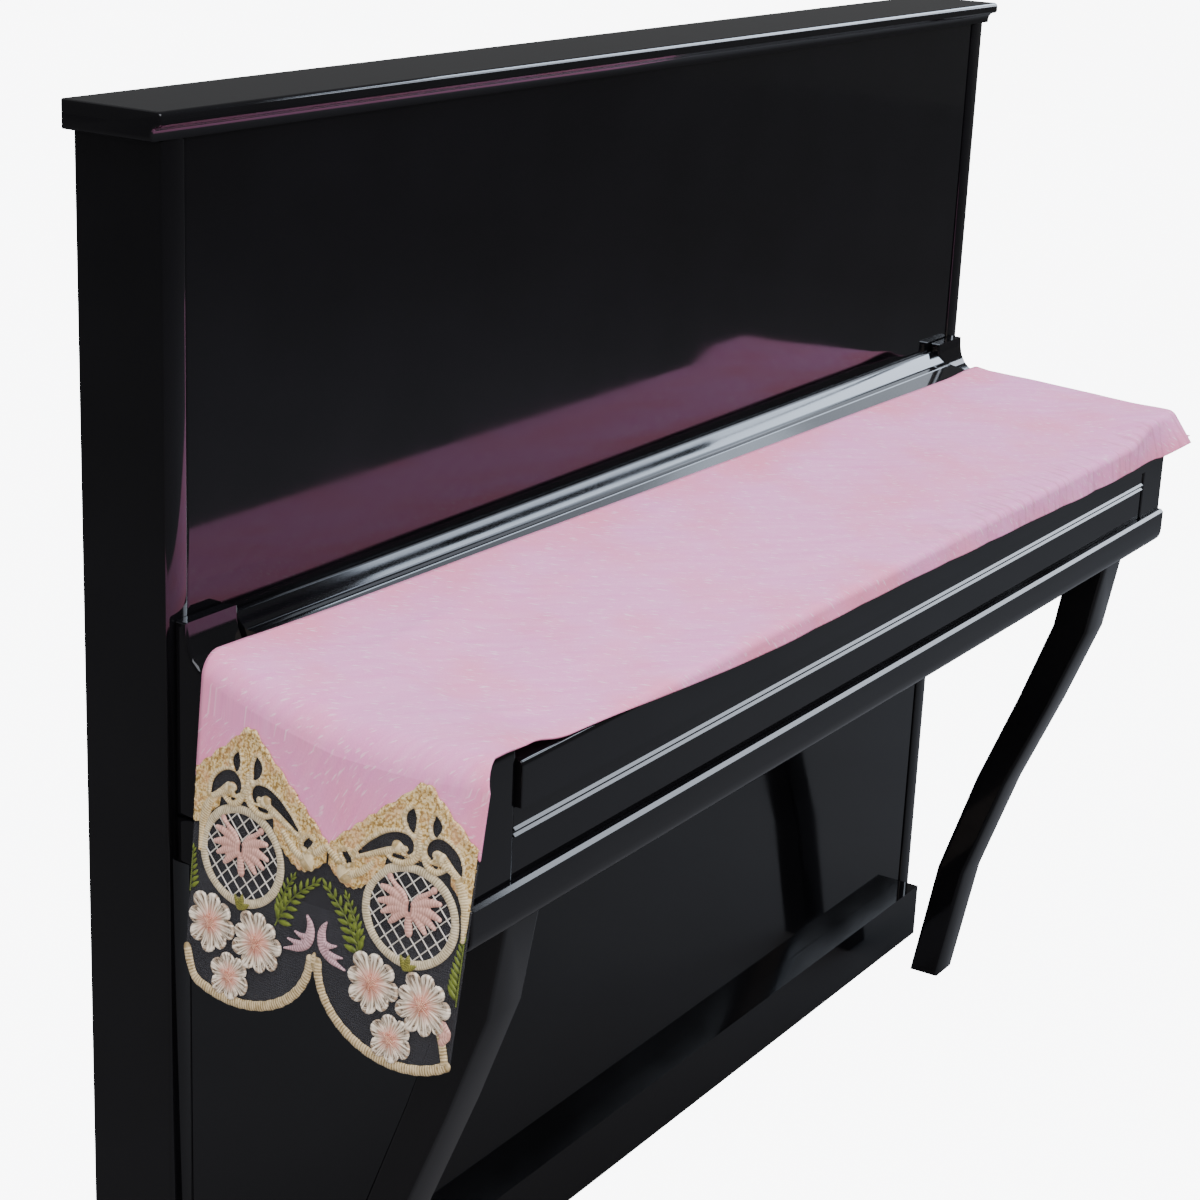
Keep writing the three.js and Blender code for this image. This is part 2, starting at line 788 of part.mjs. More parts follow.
// Lower edge of a scroll cartouche: over the oval frame, then down to a pendant on each side
function scrollUnder(across) {
  const reach = Math.abs(across);
  if (reach > lace.pendantStart) {
    const share = (reach - lace.pendantStart) / (lace.scrollReach - lace.pendantStart);
    return scrollUnder(Math.sign(across) * lace.pendantStart) + lace.pendantDrop * Math.sin(Math.PI * share);
  }
  const fromRing = across + lace.scrollAxes[0] - lace.repeatMiddles[0] - lace.ringShift;
  const half = lace.ringHalfV + lace.ringClear;
  return lace.ringS - (lace.ringHalfS + lace.ringClear) * Math.sqrt(1 - (fromRing / half) ** 2);
}

function buildScroll(end, name, axis, inward) {
  const edge = Math.min(axis, cover.width - axis) - lace.edgeMargin;
  const steps = 30;
  const from = inward > 0 ? -edge : -lace.scrollReach;
  const to = inward > 0 ? lace.scrollReach : edge;
  const upper = [];
  const lower = [];
  for (let k = 0; k <= steps; k++) {
    const across = lerp(from, to, k / steps);
    const ruffle = lace.ruffle * Math.cos(Math.PI * k);
    upper.push([axis + across, scrollContour(axis + across) - ruffle]);
    if (k % 2 === 0) {
      lower.unshift([axis + across, scrollUnder(across)]);
    }
  }
  const shape = outline([...upper, ...lower]);
  for (const opening of scrollOpenings) {
    const mirror = opening.place === 'inner' ? inward : -inward;
    const hole = comma(axis + mirror * opening.across, opening.s, opening, mirror);
    shape.holes.push(new THREE.Path(hole.map(([v, s]) => new THREE.Vector2(v, s))));
  }
  add(name, plate(end, shape, layers.scroll), finish.creamThread);
}

// Part of a polygon that lies inside a convex outline, both running the same way round
function clipTo(polygon, clipper) {
  let kept = polygon;
  for (let k = 0; k < clipper.length; k++) {
    const [ax, ay] = clipper[k];
    const [bx, by] = clipper[(k + 1) % clipper.length];
    const inside = ([x, y]) => (bx - ax) * (y - ay) - (by - ay) * (x - ax);
    const next = [];
    kept.forEach((point, i) => {
      const other = kept[(i + 1) % kept.length];
      const [d0, d1] = [inside(point), inside(other)];
      if (d0 >= 0) {
        next.push(point);
      }
      if (d0 * d1 < 0) {
        const share = d0 / (d0 - d1);
        next.push([lerp(point[0], other[0], share), lerp(point[1], other[1], share)]);
      }
    });
    kept = next;
  }
  return kept;
}

function ellipse(v, s, halfV, halfS, steps) {
  const points = [];
  for (let k = 0; k < steps; k++) {
    const angle = (2 * Math.PI * k) / steps;
    points.push([v + halfV * Math.cos(angle), s + halfS * Math.sin(angle)]);
  }
  return points;
}

// Oval frame with the gaps of its diagonal trellis cut through
function buildRing(end, name, v) {
  const shape = outline(ellipse(v, lace.ringS, lace.ringHalfV, lace.ringHalfS, 36));
  const halfV = lace.ringHalfV - lace.ringWidth;
  const halfS = lace.ringHalfS - lace.ringWidth;
  const inside = ellipse(v, lace.ringS, halfV, halfS, 28);
  const pitch = lace.trellisPitch;
  const gap = pitch - lace.trellisThread;
  const count = Math.ceil(halfV / pitch) + 1;
  const corners = [[0, 0], [gap, 0], [gap, gap], [0, gap]];
  for (let i = -count; i < count; i++) {
    for (let j = -count; j < count; j++) {
      const cell = corners.map(([p, q]) => {
        const along = i * pitch + lace.trellisThread / 2 + p;
        const across = j * pitch + lace.trellisThread / 2 + q;
        return [v + (along - across) * Math.SQRT1_2, lace.ringS + (along + across) * Math.SQRT1_2];
      });
      const points = clipTo(cell, inside).map(([x, y]) => new THREE.Vector2(x, y));
      if (points.length > 2 && Math.abs(THREE.ShapeUtils.area(points)) > lace.trellisLeast) {
        shape.holes.push(new THREE.Path(points));
      }
    }
  }
  add(name, plate(end, shape, layers.ring), finish.creamThread);
}

function buildButterfly(end, name, v) {
  const middleS = lace.ringS - lace.butterflyRise;
  const radiusAt = (angle) => {
    const next = Math.max(butterflyLobes.findIndex((lobe) => lobe.angle >= angle), 1);
    const [low, high] = [butterflyLobes[next - 1], butterflyLobes[next]];
    return lerp(low.radius, high.radius, (angle - low.angle) / (high.angle - low.angle));
  };
  const steps = 15;
  const points = [];
  for (let k = -steps; k < steps; k++) {
    const angle = (180 * k) / steps;
    const radius = radiusAt(Math.abs(angle));
    const turn = degToRad(angle);
    points.push([v + radius * Math.sin(turn), middleS + radius * Math.cos(turn)]);
  }
  add(name, plate(end, outline(points), layers.motif), finish.pinkThread);
}

// One flower in flat lace sizes: a raised middle, cupped petals and a lobed edge
function flower(v, s, { radius, petals, turn }) {
  const steps = petals * 4;
  const { low, high } = layers.flower;
  const ring = (share, height) => {
    const points = [];
    for (let k = 0; k < steps; k++) {
      const angle = (2 * Math.PI * k) / steps + degToRad(turn);
      const swing = Math.abs(Math.cos((petals * (angle - degToRad(turn))) / 2)) ** petal.bluntness;
      const lobe = 1 - petal.depth + petal.depth * swing;
      const reach = radius * share * (share < 1 ? 1 : lobe);
      points.push(new THREE.Vector3(v + reach * Math.cos(angle), s + reach * Math.sin(angle), height));
    }
    return points;
  };
  const points = [
    ...ring(1, low),
    ...ring(1, high),
    ...ring(petal.eyeShare, high + petal.eyeRise),
    new THREE.Vector3(v, s, high + petal.middleRise),
    new THREE.Vector3(v, s, low),
  ];
  const top = 3 * steps;
  const bottom = top + 1;
  const index = [];
  for (let k = 0; k < steps; k++) {
    const n = (k + 1) % steps;
    for (const level of [0, steps]) {
      index.push(level + k, level + n, level + steps + n, level + k, level + steps + n, level + steps + k);
    }
    index.push(2 * steps + k, 2 * steps + n, top);
    index.push(n, k, bottom);
  }
  return fromIndexed(points, index);
}

function manifoldOf(geometry) {
  return new wasm.Manifold(
    new wasm.Mesh({
      numProp: 3,
      vertProperties: new Float32Array(geometry.attributes.position.array),
      triVerts: new Uint32Array(geometry.index.array),
    }),
  );
}

// Cluster of flowers grown together where they meet
function buildCluster(end, name, middle) {
  const solids = flowers.map((row) => manifoldOf(flower(middle + row.across, row.s, row)));
  const joined = solids.reduce((sum, solid) => sum.add(solid)).getMesh();
  const flat = new THREE.BufferGeometry();
  flat.setAttribute('position', new THREE.BufferAttribute(new Float32Array(joined.vertProperties), 3));
  flat.setIndex([...joined.triVerts]);
  add(name, lay(end, flat), finish.petal);
}

// Fern sprig: its outline runs up one side of the stem and down the other
function buildFern(end, name, fern) {
  const base = new THREE.Vector2(...fern.base);
  const tip = new THREE.Vector2(...fern.tip);
  const along = tip.clone().sub(base);
  const out = new THREE.Vector2(-along.y, along.x).normalize();
  const at = (share, across) => {
    const bow = fern.bow * Math.sin(Math.PI * share);
    const point = base.clone().addScaledVector(along, share).addScaledVector(out, bow + across);
    return [point.x, point.y];
  };
  const edge = (side) => {
    const points = [at(0, side * leaflet.stem)];
    for (let k = 0; k < fern.leaflets && fern.sides.includes(side); k++) {
      const share = (k + 0.5) / (fern.leaflets + 0.5);
      const size = fern.size * (1 - leaflet.taper * share);
      points.push(at(share - leaflet.root, side * leaflet.stem));
      points.push(at(share + leaflet.bellyAhead, side * size * leaflet.belly));
      points.push(at(share + leaflet.tipAhead, side * size));
      points.push(at(share + leaflet.root, side * leaflet.stem));
    }
    return points;
  };
  const shape = outline([...edge(1), at(1 + leaflet.root, 0), ...edge(-1).reverse()]);
  add(name, plate(end, shape, layers.sprig), finish.greenThread);
}

// Crescent leaf beside the cusp, cut into teeth along its hollow side
function buildCuspLeaf(end, name, mirror) {
  const { across, s, radius, from, to, outer, inner, jags } = cuspLeaf;
  const steps = 4 * jags;
  const at = (reach, angle) => [
    lace.cuspV + mirror * (across - reach * Math.cos(angle)),
    s + reach * Math.sin(angle),
  ];
  const hull = [];
  const hollow = [];
  for (let k = 0; k <= steps; k++) {
    const share = k / steps;
    const angle = degToRad(lerp(from, to, share));
    const body = Math.sin(Math.PI * share);
    hull.push(at(radius + 0.4 + outer * body ** 0.6, angle));
    const tooth = 0.7 + 0.6 * Math.abs(Math.sin(jags * Math.PI * share));
    hollow.unshift(at(radius - 0.4 - inner * body * tooth, angle));
  }
  add(name, plate(end, outline([...hull, ...hollow]), layers.sprig), finish.pinkThread);
}

function buildBud(end, name, middle) {
  const points = [];
  const steps = 18;
  for (let k = 0; k < steps; k++) {
    const angle = (2 * Math.PI * k) / steps;
    const reach = budLeaf.radius * (0.55 + 0.45 * Math.abs(Math.cos((budLeaf.lobes * angle) / 2)));
    points.push([middle + budLeaf.across + reach * Math.sin(angle), budLeaf.s + reach * Math.cos(angle)]);
  }
  add(name, plate(end, outline(points), layers.bud), finish.greenThread);
}

function buildBand(end, name) {
  const [back, front] = lace.repeatMiddles;
  const low = lace.edgeMargin;
  const high = cover.width - low;
  const { cuspV, bandWidth, bandDrop } = lace;
  const outer = [
    ...scallopPoints(0, 0, low, cuspV, back, 10),
    ...scallopPoints(0, 0, cuspV, high, front, 10).slice(1),
  ];
  const inner = [
    ...scallopPoints(bandWidth, bandDrop, low, cuspV, back, 10),
    new THREE.Vector2(cuspV, lace.scallopTop - lace.cuspRise),
    ...scallopPoints(bandWidth, bandDrop, cuspV, high, front, 10),
  ];
  add(name, plate(end, new THREE.Shape([...outer, ...inner.reverse()]), layers.band), finish.creamThread);
}

function buildLace(end, name) {
  buildGround(end, name);
  buildBand(end, `scallop_band_${name}`);
  ['back', 'front'].forEach((place, i) => {
    const middle = lace.repeatMiddles[i];
    const inward = i === 0 ? 1 : -1;
    const tag = `${place}_${name}`;
    buildScroll(end, `scroll_${tag}`, lace.scrollAxes[i], inward);
    buildRing(end, `oval_frame_${tag}`, middle + lace.ringShift);
    buildButterfly(end, `butterfly_${tag}`, middle + lace.ringShift);
    buildCluster(end, `flowers_${tag}`, middle);
    buildBud(end, `bud_leaf_${tag}`, middle);
    buildCuspLeaf(end, `cusp_leaf_${tag}`, -inward);
  });
  for (const fern of ferns) {
    buildFern(end, `fern_${fern.name}_${name}`, fern);
  }
}

buildPiano();
buildCloth();
buildLace(ends.left, 'left');
buildLace(ends.right, 'right');

export default group;
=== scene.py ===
import math

import bmesh
import bpy
import numpy as np
from mathutils import Matrix, Vector


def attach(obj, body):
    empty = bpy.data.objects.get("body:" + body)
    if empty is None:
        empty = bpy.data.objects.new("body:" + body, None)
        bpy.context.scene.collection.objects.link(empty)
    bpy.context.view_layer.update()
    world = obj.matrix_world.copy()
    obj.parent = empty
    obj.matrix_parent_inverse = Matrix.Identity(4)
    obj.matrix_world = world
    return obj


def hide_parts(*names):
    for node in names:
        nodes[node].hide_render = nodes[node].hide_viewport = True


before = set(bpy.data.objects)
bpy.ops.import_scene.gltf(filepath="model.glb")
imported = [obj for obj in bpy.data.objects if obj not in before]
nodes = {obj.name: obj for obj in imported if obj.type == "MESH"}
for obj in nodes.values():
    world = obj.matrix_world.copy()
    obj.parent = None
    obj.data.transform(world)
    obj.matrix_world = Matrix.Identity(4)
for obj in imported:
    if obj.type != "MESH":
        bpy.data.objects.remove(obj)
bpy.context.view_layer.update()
mm = 0.001  # metres in a millimetre
print("frame loaded,", len(nodes), "nodes")


def linear(hexColour):
    channels = [int(hexColour[i:i + 2], 16) / 255 for i in (1, 3, 5)]
    return tuple(c / 12.92 if c <= 0.04045 else ((c + 0.055) / 1.055) ** 2.4 for c in channels) + (1.0,)


def setSockets(tree, node, values):  # a socket is linked, anything else is set as the value
    for key, value in values.items():
        if isinstance(value, bpy.types.NodeSocket):
            tree.links.new(value, node.inputs[key])
        else:
            node.inputs[key].default_value = value


def addNode(tree, kind, inputs=None, **settings):
    node = tree.nodes.new(kind)
    for name, value in settings.items():
        setattr(node, name, value)
    setSockets(tree, node, inputs or {})
    return node


def newMaterial(name):
    material = bpy.data.materials.new(name)
    material.use_nodes = True
    tree = material.node_tree
    return material, tree, tree.nodes["Principled BSDF"]


# Camera at the photograph's place, worked out from the lid's and the panel's edges
view = dict(
    place=(-2257.8, -1356.0, 1512.2), yaw=58.09, pitch=18.12, roll=-2.57, lens=77.89, sensor=36.0, clipEnd=40)

yaw, pitch, roll = (math.radians(view[k]) for k in ("yaw", "pitch", "roll"))
ahead = np.array([math.sin(yaw) * math.cos(pitch), math.cos(yaw) * math.cos(pitch), -math.sin(pitch)])
level = np.array([math.cos(yaw), -math.sin(yaw), 0.0])
under = np.cross(ahead, level)
rightward = math.cos(roll) * level + math.sin(roll) * under
downward = -math.sin(roll) * level + math.cos(roll) * under
cameraData = bpy.data.cameras.new("viewCamera")
cameraData.lens = view["lens"]
cameraData.sensor_width = view["sensor"]
cameraData.clip_end = view["clipEnd"]
camera = bpy.data.objects.new("viewCamera", cameraData)
bpy.context.scene.collection.objects.link(camera)
axes = np.column_stack([rightward, -downward, -ahead])
camera.matrix_world = Matrix.Translation([c * mm for c in view["place"]]) @ Matrix(axes.tolist()).to_4x4()
bpy.context.scene.camera = camera
print("camera set")

# Sizes that the solids have too, in millimetres
half = 740  # half the length of the ledge over its arms
lid = dict(frontY=-304, frontZ=753, backY=-34, backZ=800.3)
lidSlope = (lid["backZ"] - lid["frontZ"]) / (lid["backY"] - lid["frontY"])
lidAngle = math.atan(lidSlope)
arm = dict(frontY=-299, frontZ=768, backY=-36, backZ=782)

cover = dict(
    width=284, thickness=1.6, backY=-50, skew=12, restGap=0.6, frontLift=1.9, liftWidth=50,
    bendY=-299.5, bendRadius=8, fold=math.radians(74), creaseFloor=-0.2,
    overLeft=3, overMiddle=18, overRight=13, middleFrom=-666, rightFrom=-222,
    wave=2.2, waveLength=195, sinkFrom=677, sinkTo=736, unfoldFrom=640, unfoldTo=735,
)

# columns: x, y, reach, spread, rise, turn in degrees
foldTable = [
    (-660, -185, 110, 34, 3.2, 74), (-500, -105, 150, 30, 2.4, 14), (-455, -205, 140, 28, 1.8, 10),
    (-150, -150, 210, 40, 1.6, -8), (250, -215, 190, 34, 1.9, 12), (560, -130, 150, 36, 2.2, -16),
]
creaseTable = [
    (-555, -112, 70, 9, 1.3, 2), (-622, -251, 60, 6, 1.2, -9), (-459, -231, 70, 12, 1.0, 8),
    (-439, -169, 60, 10, 0.9, 15), (-520, -150, 120, 14, -0.8, 12), (-585, -205, 90, 16, -0.9, 20),
    (-330, -120, 100, 10, 0.8, 5), (-250, -230, 90, 9, 0.8, -7), (-60, -240, 90, 9, 0.7, -6),
    (110, -110, 100, 12, 0.7, 10), (60, -180, 90, 12, -0.5, 4), (390, -190, 90, 10, 0.8, -12),
    (470, -255, 80, 9, 0.7, 6), (640, -250, 70, 10, 1.0, 30), (700, -160, 60, 12, 1.0, 62),
    (-702, -110, 46, 9, 1.1, 84), (-706, -262, 46, 8, 1.0, 96), (-684, -190, 70, 7, -0.8, 78),
    (-395, -268, 80, 9, 0.8, -4), (180, -285, 80, 7, 0.6, 3), (-120, -85, 90, 9, 0.6, 2),
]

leftEnd = dict(
    name="left", side=-1, liftFrom=600, liftTo=735, backLift=2.4, frontLift=14, armSink=0,
    hangX=750, hangZ=784, turnOut=12, lean=math.radians(9), bendRadius=22, bendSwell=6, bulge=10,
    frontTuck=0, backTopY=-42, backLowY=-55, frontTopY=-338, frontLowY=-332,
    corner=24, cornerFrom=640, cornerTo=735, unfold=1,
)
rightEnd = dict(
    name="right", side=1, liftFrom=600, liftTo=668, backLift=2.9, frontLift=2.9, armSink=1,
    hangX=750, hangZ=768, turnOut=8, lean=math.radians(4), bendRadius=24, bendSwell=4, bulge=7,
    frontTuck=46, backTopY=-62, backLowY=-8, frontTopY=-337, frontLowY=-276,
    corner=26, cornerFrom=600, cornerTo=690, unfold=0.3,
)

lace = dict(
    drop=260, bulgeEnd=230, tuckFrom=10, tuckTo=64, plainFrom=26,
    middles=(54, 226), axes=(60, 232), cuspV=140, scallopTop=195, scallopHalf=86, scallopDepth=64,
    cornerWidth=16, cornerLift=28, margin=1.5, ringShift=3, ringS=132, ringHalfV=46, ringHalfS=42,
    ringWidth=7.5, ringClear=0.8, scrollTop=28, scrollPitch=0.86, scrollRound=8, scrollTuck=7,
    scrollReach=85.4, pendantStart=38, pendantDrop=14, groundGap=4,
)


def smooth(x, low, high):
    t = np.clip((x - low) / (high - low), 0, 1)
    return t * t * (3 - 2 * t)


def mixed(a, b, t):
    return a + (b - a) * t


def lidTop(y):
    return lid["frontZ"] + (y - lid["frontY"]) * lidSlope


def foldHeight(x, y):
    height = np.zeros(np.broadcast(x, y).shape)
    for cx, cy, reach, spread, rise, turn in foldTable + creaseTable:
        c, s = math.cos(math.radians(turn)), math.sin(math.radians(turn))
        along = (x - cx) * c + (y - cy) * s
        across = (y - cy) * c - (x - cx) * s
        height = height + rise * np.exp(-(along / reach) ** 2 - (across / spread) ** 2)
    return height


def armTop(y):
    return mixed(arm["backZ"], arm["frontZ"], (y - arm["backY"]) / (arm["frontY"] - arm["backY"]))


def atEnd(x, key):  # a value of the end that x is nearer to
    return np.where(x < 0, leftEnd[key], rightEnd[key])


def topPoint(x, f):  # inner face of the cloth over the lid, x along and f from back to front edge
    reach = np.abs(x)
    over = (cover["overLeft"] + cover["overMiddle"] * smooth(x, cover["middleFrom"], cover["rightFrom"])
            + cover["overRight"] * smooth(x, cover["rightFrom"], half)
            + atEnd(x, "corner") * smooth(reach, atEnd(x, "cornerFrom"), atEnd(x, "cornerTo")))
    backEdge = cover["backY"] - cover["skew"] * x / half
    toBend = (backEdge - cover["bendY"]) / math.cos(lidAngle)
    run = f * (toBend + over)
    flatY = backEdge - run * math.cos(lidAngle)
    nearFront = smooth(-flatY, -cover["bendY"] - cover["liftWidth"], -cover["bendY"])
    rise = armTop(flatY) - lidTop(flatY)
    overArm = mixed(atEnd(x, "backLift"), atEnd(x, "frontLift"), f) + np.maximum(rise, 0)
    sink = atEnd(x, "armSink") * np.minimum(rise, 0) * smooth(reach, cover["sinkFrom"], cover["sinkTo"])
    folds = np.maximum(foldHeight(x, flatY), cover["creaseFloor"]) * (1 - nearFront)
    lift = (cover["restGap"] + overArm * smooth(reach, atEnd(x, "liftFrom"), atEnd(x, "liftTo")) + sink
            + cover["frontLift"] * nearFront + folds)
    arc = np.clip((run - toBend) / cover["bendRadius"], 0, cover["fold"])
    rest = np.maximum(run - toBend - cover["bendRadius"] * arc, 0)
    angle = lidAngle + arc
    wave = cover["wave"] * rest / cover["overMiddle"]
    wave = wave * np.sin(2 * np.pi * x / cover["waveLength"]) * np.sin(2 * x / cover["waveLength"])
    foldedY = (cover["bendY"] - cover["bendRadius"] * (np.sin(angle) - math.sin(lidAngle))
               - rest * np.cos(angle) - np.abs(wave))
    foldedZ = (lidTop(cover["bendY"]) + lift - cover["bendRadius"] * (math.cos(lidAngle) - np.cos(angle))
               - rest * np.sin(angle))
    past = run > toBend
    unfold = atEnd(x, "unfold") * smooth(reach, cover["unfoldFrom"], cover["unfoldTo"])
    flatZ = lidTop(flatY) + lift
    y = np.where(past, mixed(foldedY, flatY, unfold), flatY)
    z = np.where(past, mixed(foldedZ, flatZ, unfold), flatZ)
    return np.stack(np.broadcast_arrays(x, y, z), -1)


def lacePoint(end, v, s, off):  # v from the back edge, s down the hang, off outwards
    f = v / cover["width"]
    down = s / lace["drop"]
    backY = mixed(end["backTopY"], end["backLowY"], down)
    frontY = mixed(end["frontTopY"], end["frontLowY"], down)
    y = mixed(backY, frontY, f) + end["frontTuck"] * f ** 2 * smooth(s, lace["tuckFrom"], lace["tuckTo"])
    out = end["bulge"] * (1 - (2 * f - 1) ** 2) * (1 - s / lace["bulgeEnd"]) + off
    reach = (end["hangX"] + end["turnOut"] * f + s * math.sin(end["lean"])
             + out * math.cos(end["lean"]))
    z = end["hangZ"] - s * math.cos(end["lean"]) + out * math.sin(end["lean"])
    return np.stack(np.broadcast_arrays(end["side"] * reach, y, z), -1)


def scrollContour(v):  # upper edge of the lace, with a peak over each scroll
    across = np.minimum(np.abs(v - lace["axes"][0]), np.abs(v - lace["axes"][1]))
    rounded = np.hypot(across, lace["scrollRound"]) - lace["scrollRound"]
    return lace["scrollTop"] + lace["scrollPitch"] * rounded


def scrollUnder(across):  # lower edge of a scroll: over the oval, then a pendant to each side
    side = np.clip(across, -lace["pendantStart"], lace["pendantStart"])
    fromRing = side + lace["axes"][0] - lace["middles"][0] - lace["ringShift"]
    top = lace["ringS"] - (lace["ringHalfS"] + lace["ringClear"]) * np.sqrt(
        1 - (fromRing / (lace["ringHalfV"] + lace["ringClear"])) ** 2)
    share = (np.abs(across) - lace["pendantStart"]) / (lace["scrollReach"] - lace["pendantStart"])
    return top + lace["pendantDrop"] * np.sin(np.pi * np.clip(share, 0, 1))


def scallopLine(middle, inset, rise, v0, v1, steps):
    reach = lace["scallopHalf"] - inset
    depth = lace["scallopDepth"] - rise
    first = math.asin(max((v0 - middle) / reach, -1))
    last = math.asin(min((v1 - middle) / reach, 1))
    angles = np.linspace(first, last, steps)
    v = middle + reach * np.sin(angles)
    turnUp = lace["cornerLift"] * np.maximum(1 - v / lace["cornerWidth"], 0) ** 2
    return np.stack([v, lace["scallopTop"] + depth * np.cos(angles) - turnUp], -1)


def shadeSmooth(mesh):
    mesh.polygons.foreach_set("use_smooth", [True] * len(mesh.polygons))


def meshFrom(name, points, faces, uv=None, uvName="stitch"):  # points in mm, one UV a point
    mesh = bpy.data.meshes.new(name)
    faceRows = faces.tolist() if isinstance(faces, np.ndarray) else faces
    mesh.from_pydata((np.asarray(points) * mm).tolist(), [], faceRows)
    if uv is not None:
        layer = mesh.uv_layers.new(name=uvName)
        corner = np.empty(len(mesh.loops), int)
        mesh.loops.foreach_get("vertex_index", corner)
        layer.data.foreach_set("uv", np.asarray(uv)[corner].ravel())
    shadeSmooth(mesh)
    mesh.update()
    return mesh


def outwardMesh(name, points, faces):  # points in mm, faces turned outwards
    mesh = bpy.data.meshes.new(name)
    mesh.from_pydata([[c * mm for c in p] for p in points], [], faces)
    build = bmesh.new()
    build.from_mesh(mesh)
    bmesh.ops.recalc_face_normals(build, faces=build.faces)
    build.to_mesh(mesh)
    build.free()
    shadeSmooth(mesh)
    return mesh


def stitchUv(mesh, rule):  # a UV for every corner, from its point
    layer = mesh.uv_layers.get("stitch") or mesh.uv_layers.new(name="stitch")
    for loop in mesh.loops:
        layer.data[loop.index].uv = rule(*mesh.vertices[loop.vertex_index].co)


def pieceFrom(name, mesh, materials, replaced):
    for material in materials:
        mesh.materials.append(material)
    piece = bpy.data.objects.new(name, mesh)
    bpy.context.scene.collection.objects.link(piece)
    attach(piece, "root")
    if replaced:
        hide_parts(*replaced)
    return piece


def shellGrid(inner, outer):  # closed sheet between two grids of rows and columns
    rows, columns = inner.shape[:2]
    count = rows * columns
    index = np.arange(count).reshape(rows, columns)
    a, b, c, d = index[:-1, :-1], index[:-1, 1:], index[1:, 1:], index[1:, :-1]
    lower = np.stack([a, b, c, d], -1).reshape(-1, 4)
    upper = lower[:, ::-1] + count
    rim = np.concatenate([index[0, :-1], index[:-1, -1], index[-1, :0:-1], index[:0:-1, 0]])
    after = np.roll(rim, -1)
    walls = np.stack([after, rim, rim + count, after + count], -1)
    points = np.concatenate([inner.reshape(-1, 3), outer.reshape(-1, 3)])
    return points, np.concatenate([lower, upper, walls])


def gridNormals(grid):
    along = np.gradient(grid, axis=0)
    across = np.gradient(grid, axis=1)
    normal = np.cross(across, along)
    return normal / np.linalg.norm(normal, axis=-1, keepdims=True)


# Brushed suede-faced cloth: matt, lilac-pink clouded with rose where the nap is stroked, pale tick marks,
# painted shade in short creases by the front edge
suedeLook = dict(
    # the pinch tone is painted shade, laid into the creases near the front edge
    lilac="#e389c2", pale="#eaa6d0", rose="#e987a5", tickTone="#f0cede", pinchShade="#c0748f", bloom="#f3cfe0",
    cloud=110, nap=1.6, edge=34,
    marks={  # length and width in mm, turn in radians, detail
        "streak": (85, 8, 0.5, 3.0), "tick": (13, 2.4, 0.85, 1.0), "pinch": (8, 45, 0, 1.0),
    },
    streakFrom=0.2, streakTo=0.85, tickFrom=0.62, tickTo=0.72, tickMost=0.75,
    roseBack=0.24, roseFront=0.2, roseFrom=0.46, roseTo=0.82, roseMost=0.85,
    pinchFrom=0.5, pinchTo=0.68, pinchShadeMost=0.4, pinchBand=2.4, pinchStart=750, pinchFull=1050,
    fleckLow=0.88, fleckHigh=1.12, napShare=0.35, bump=0.35, bumpDepth=0.6,
    roughness=0.9, specular=0.15, sheen=0.12, sheenRough=0.45,
)


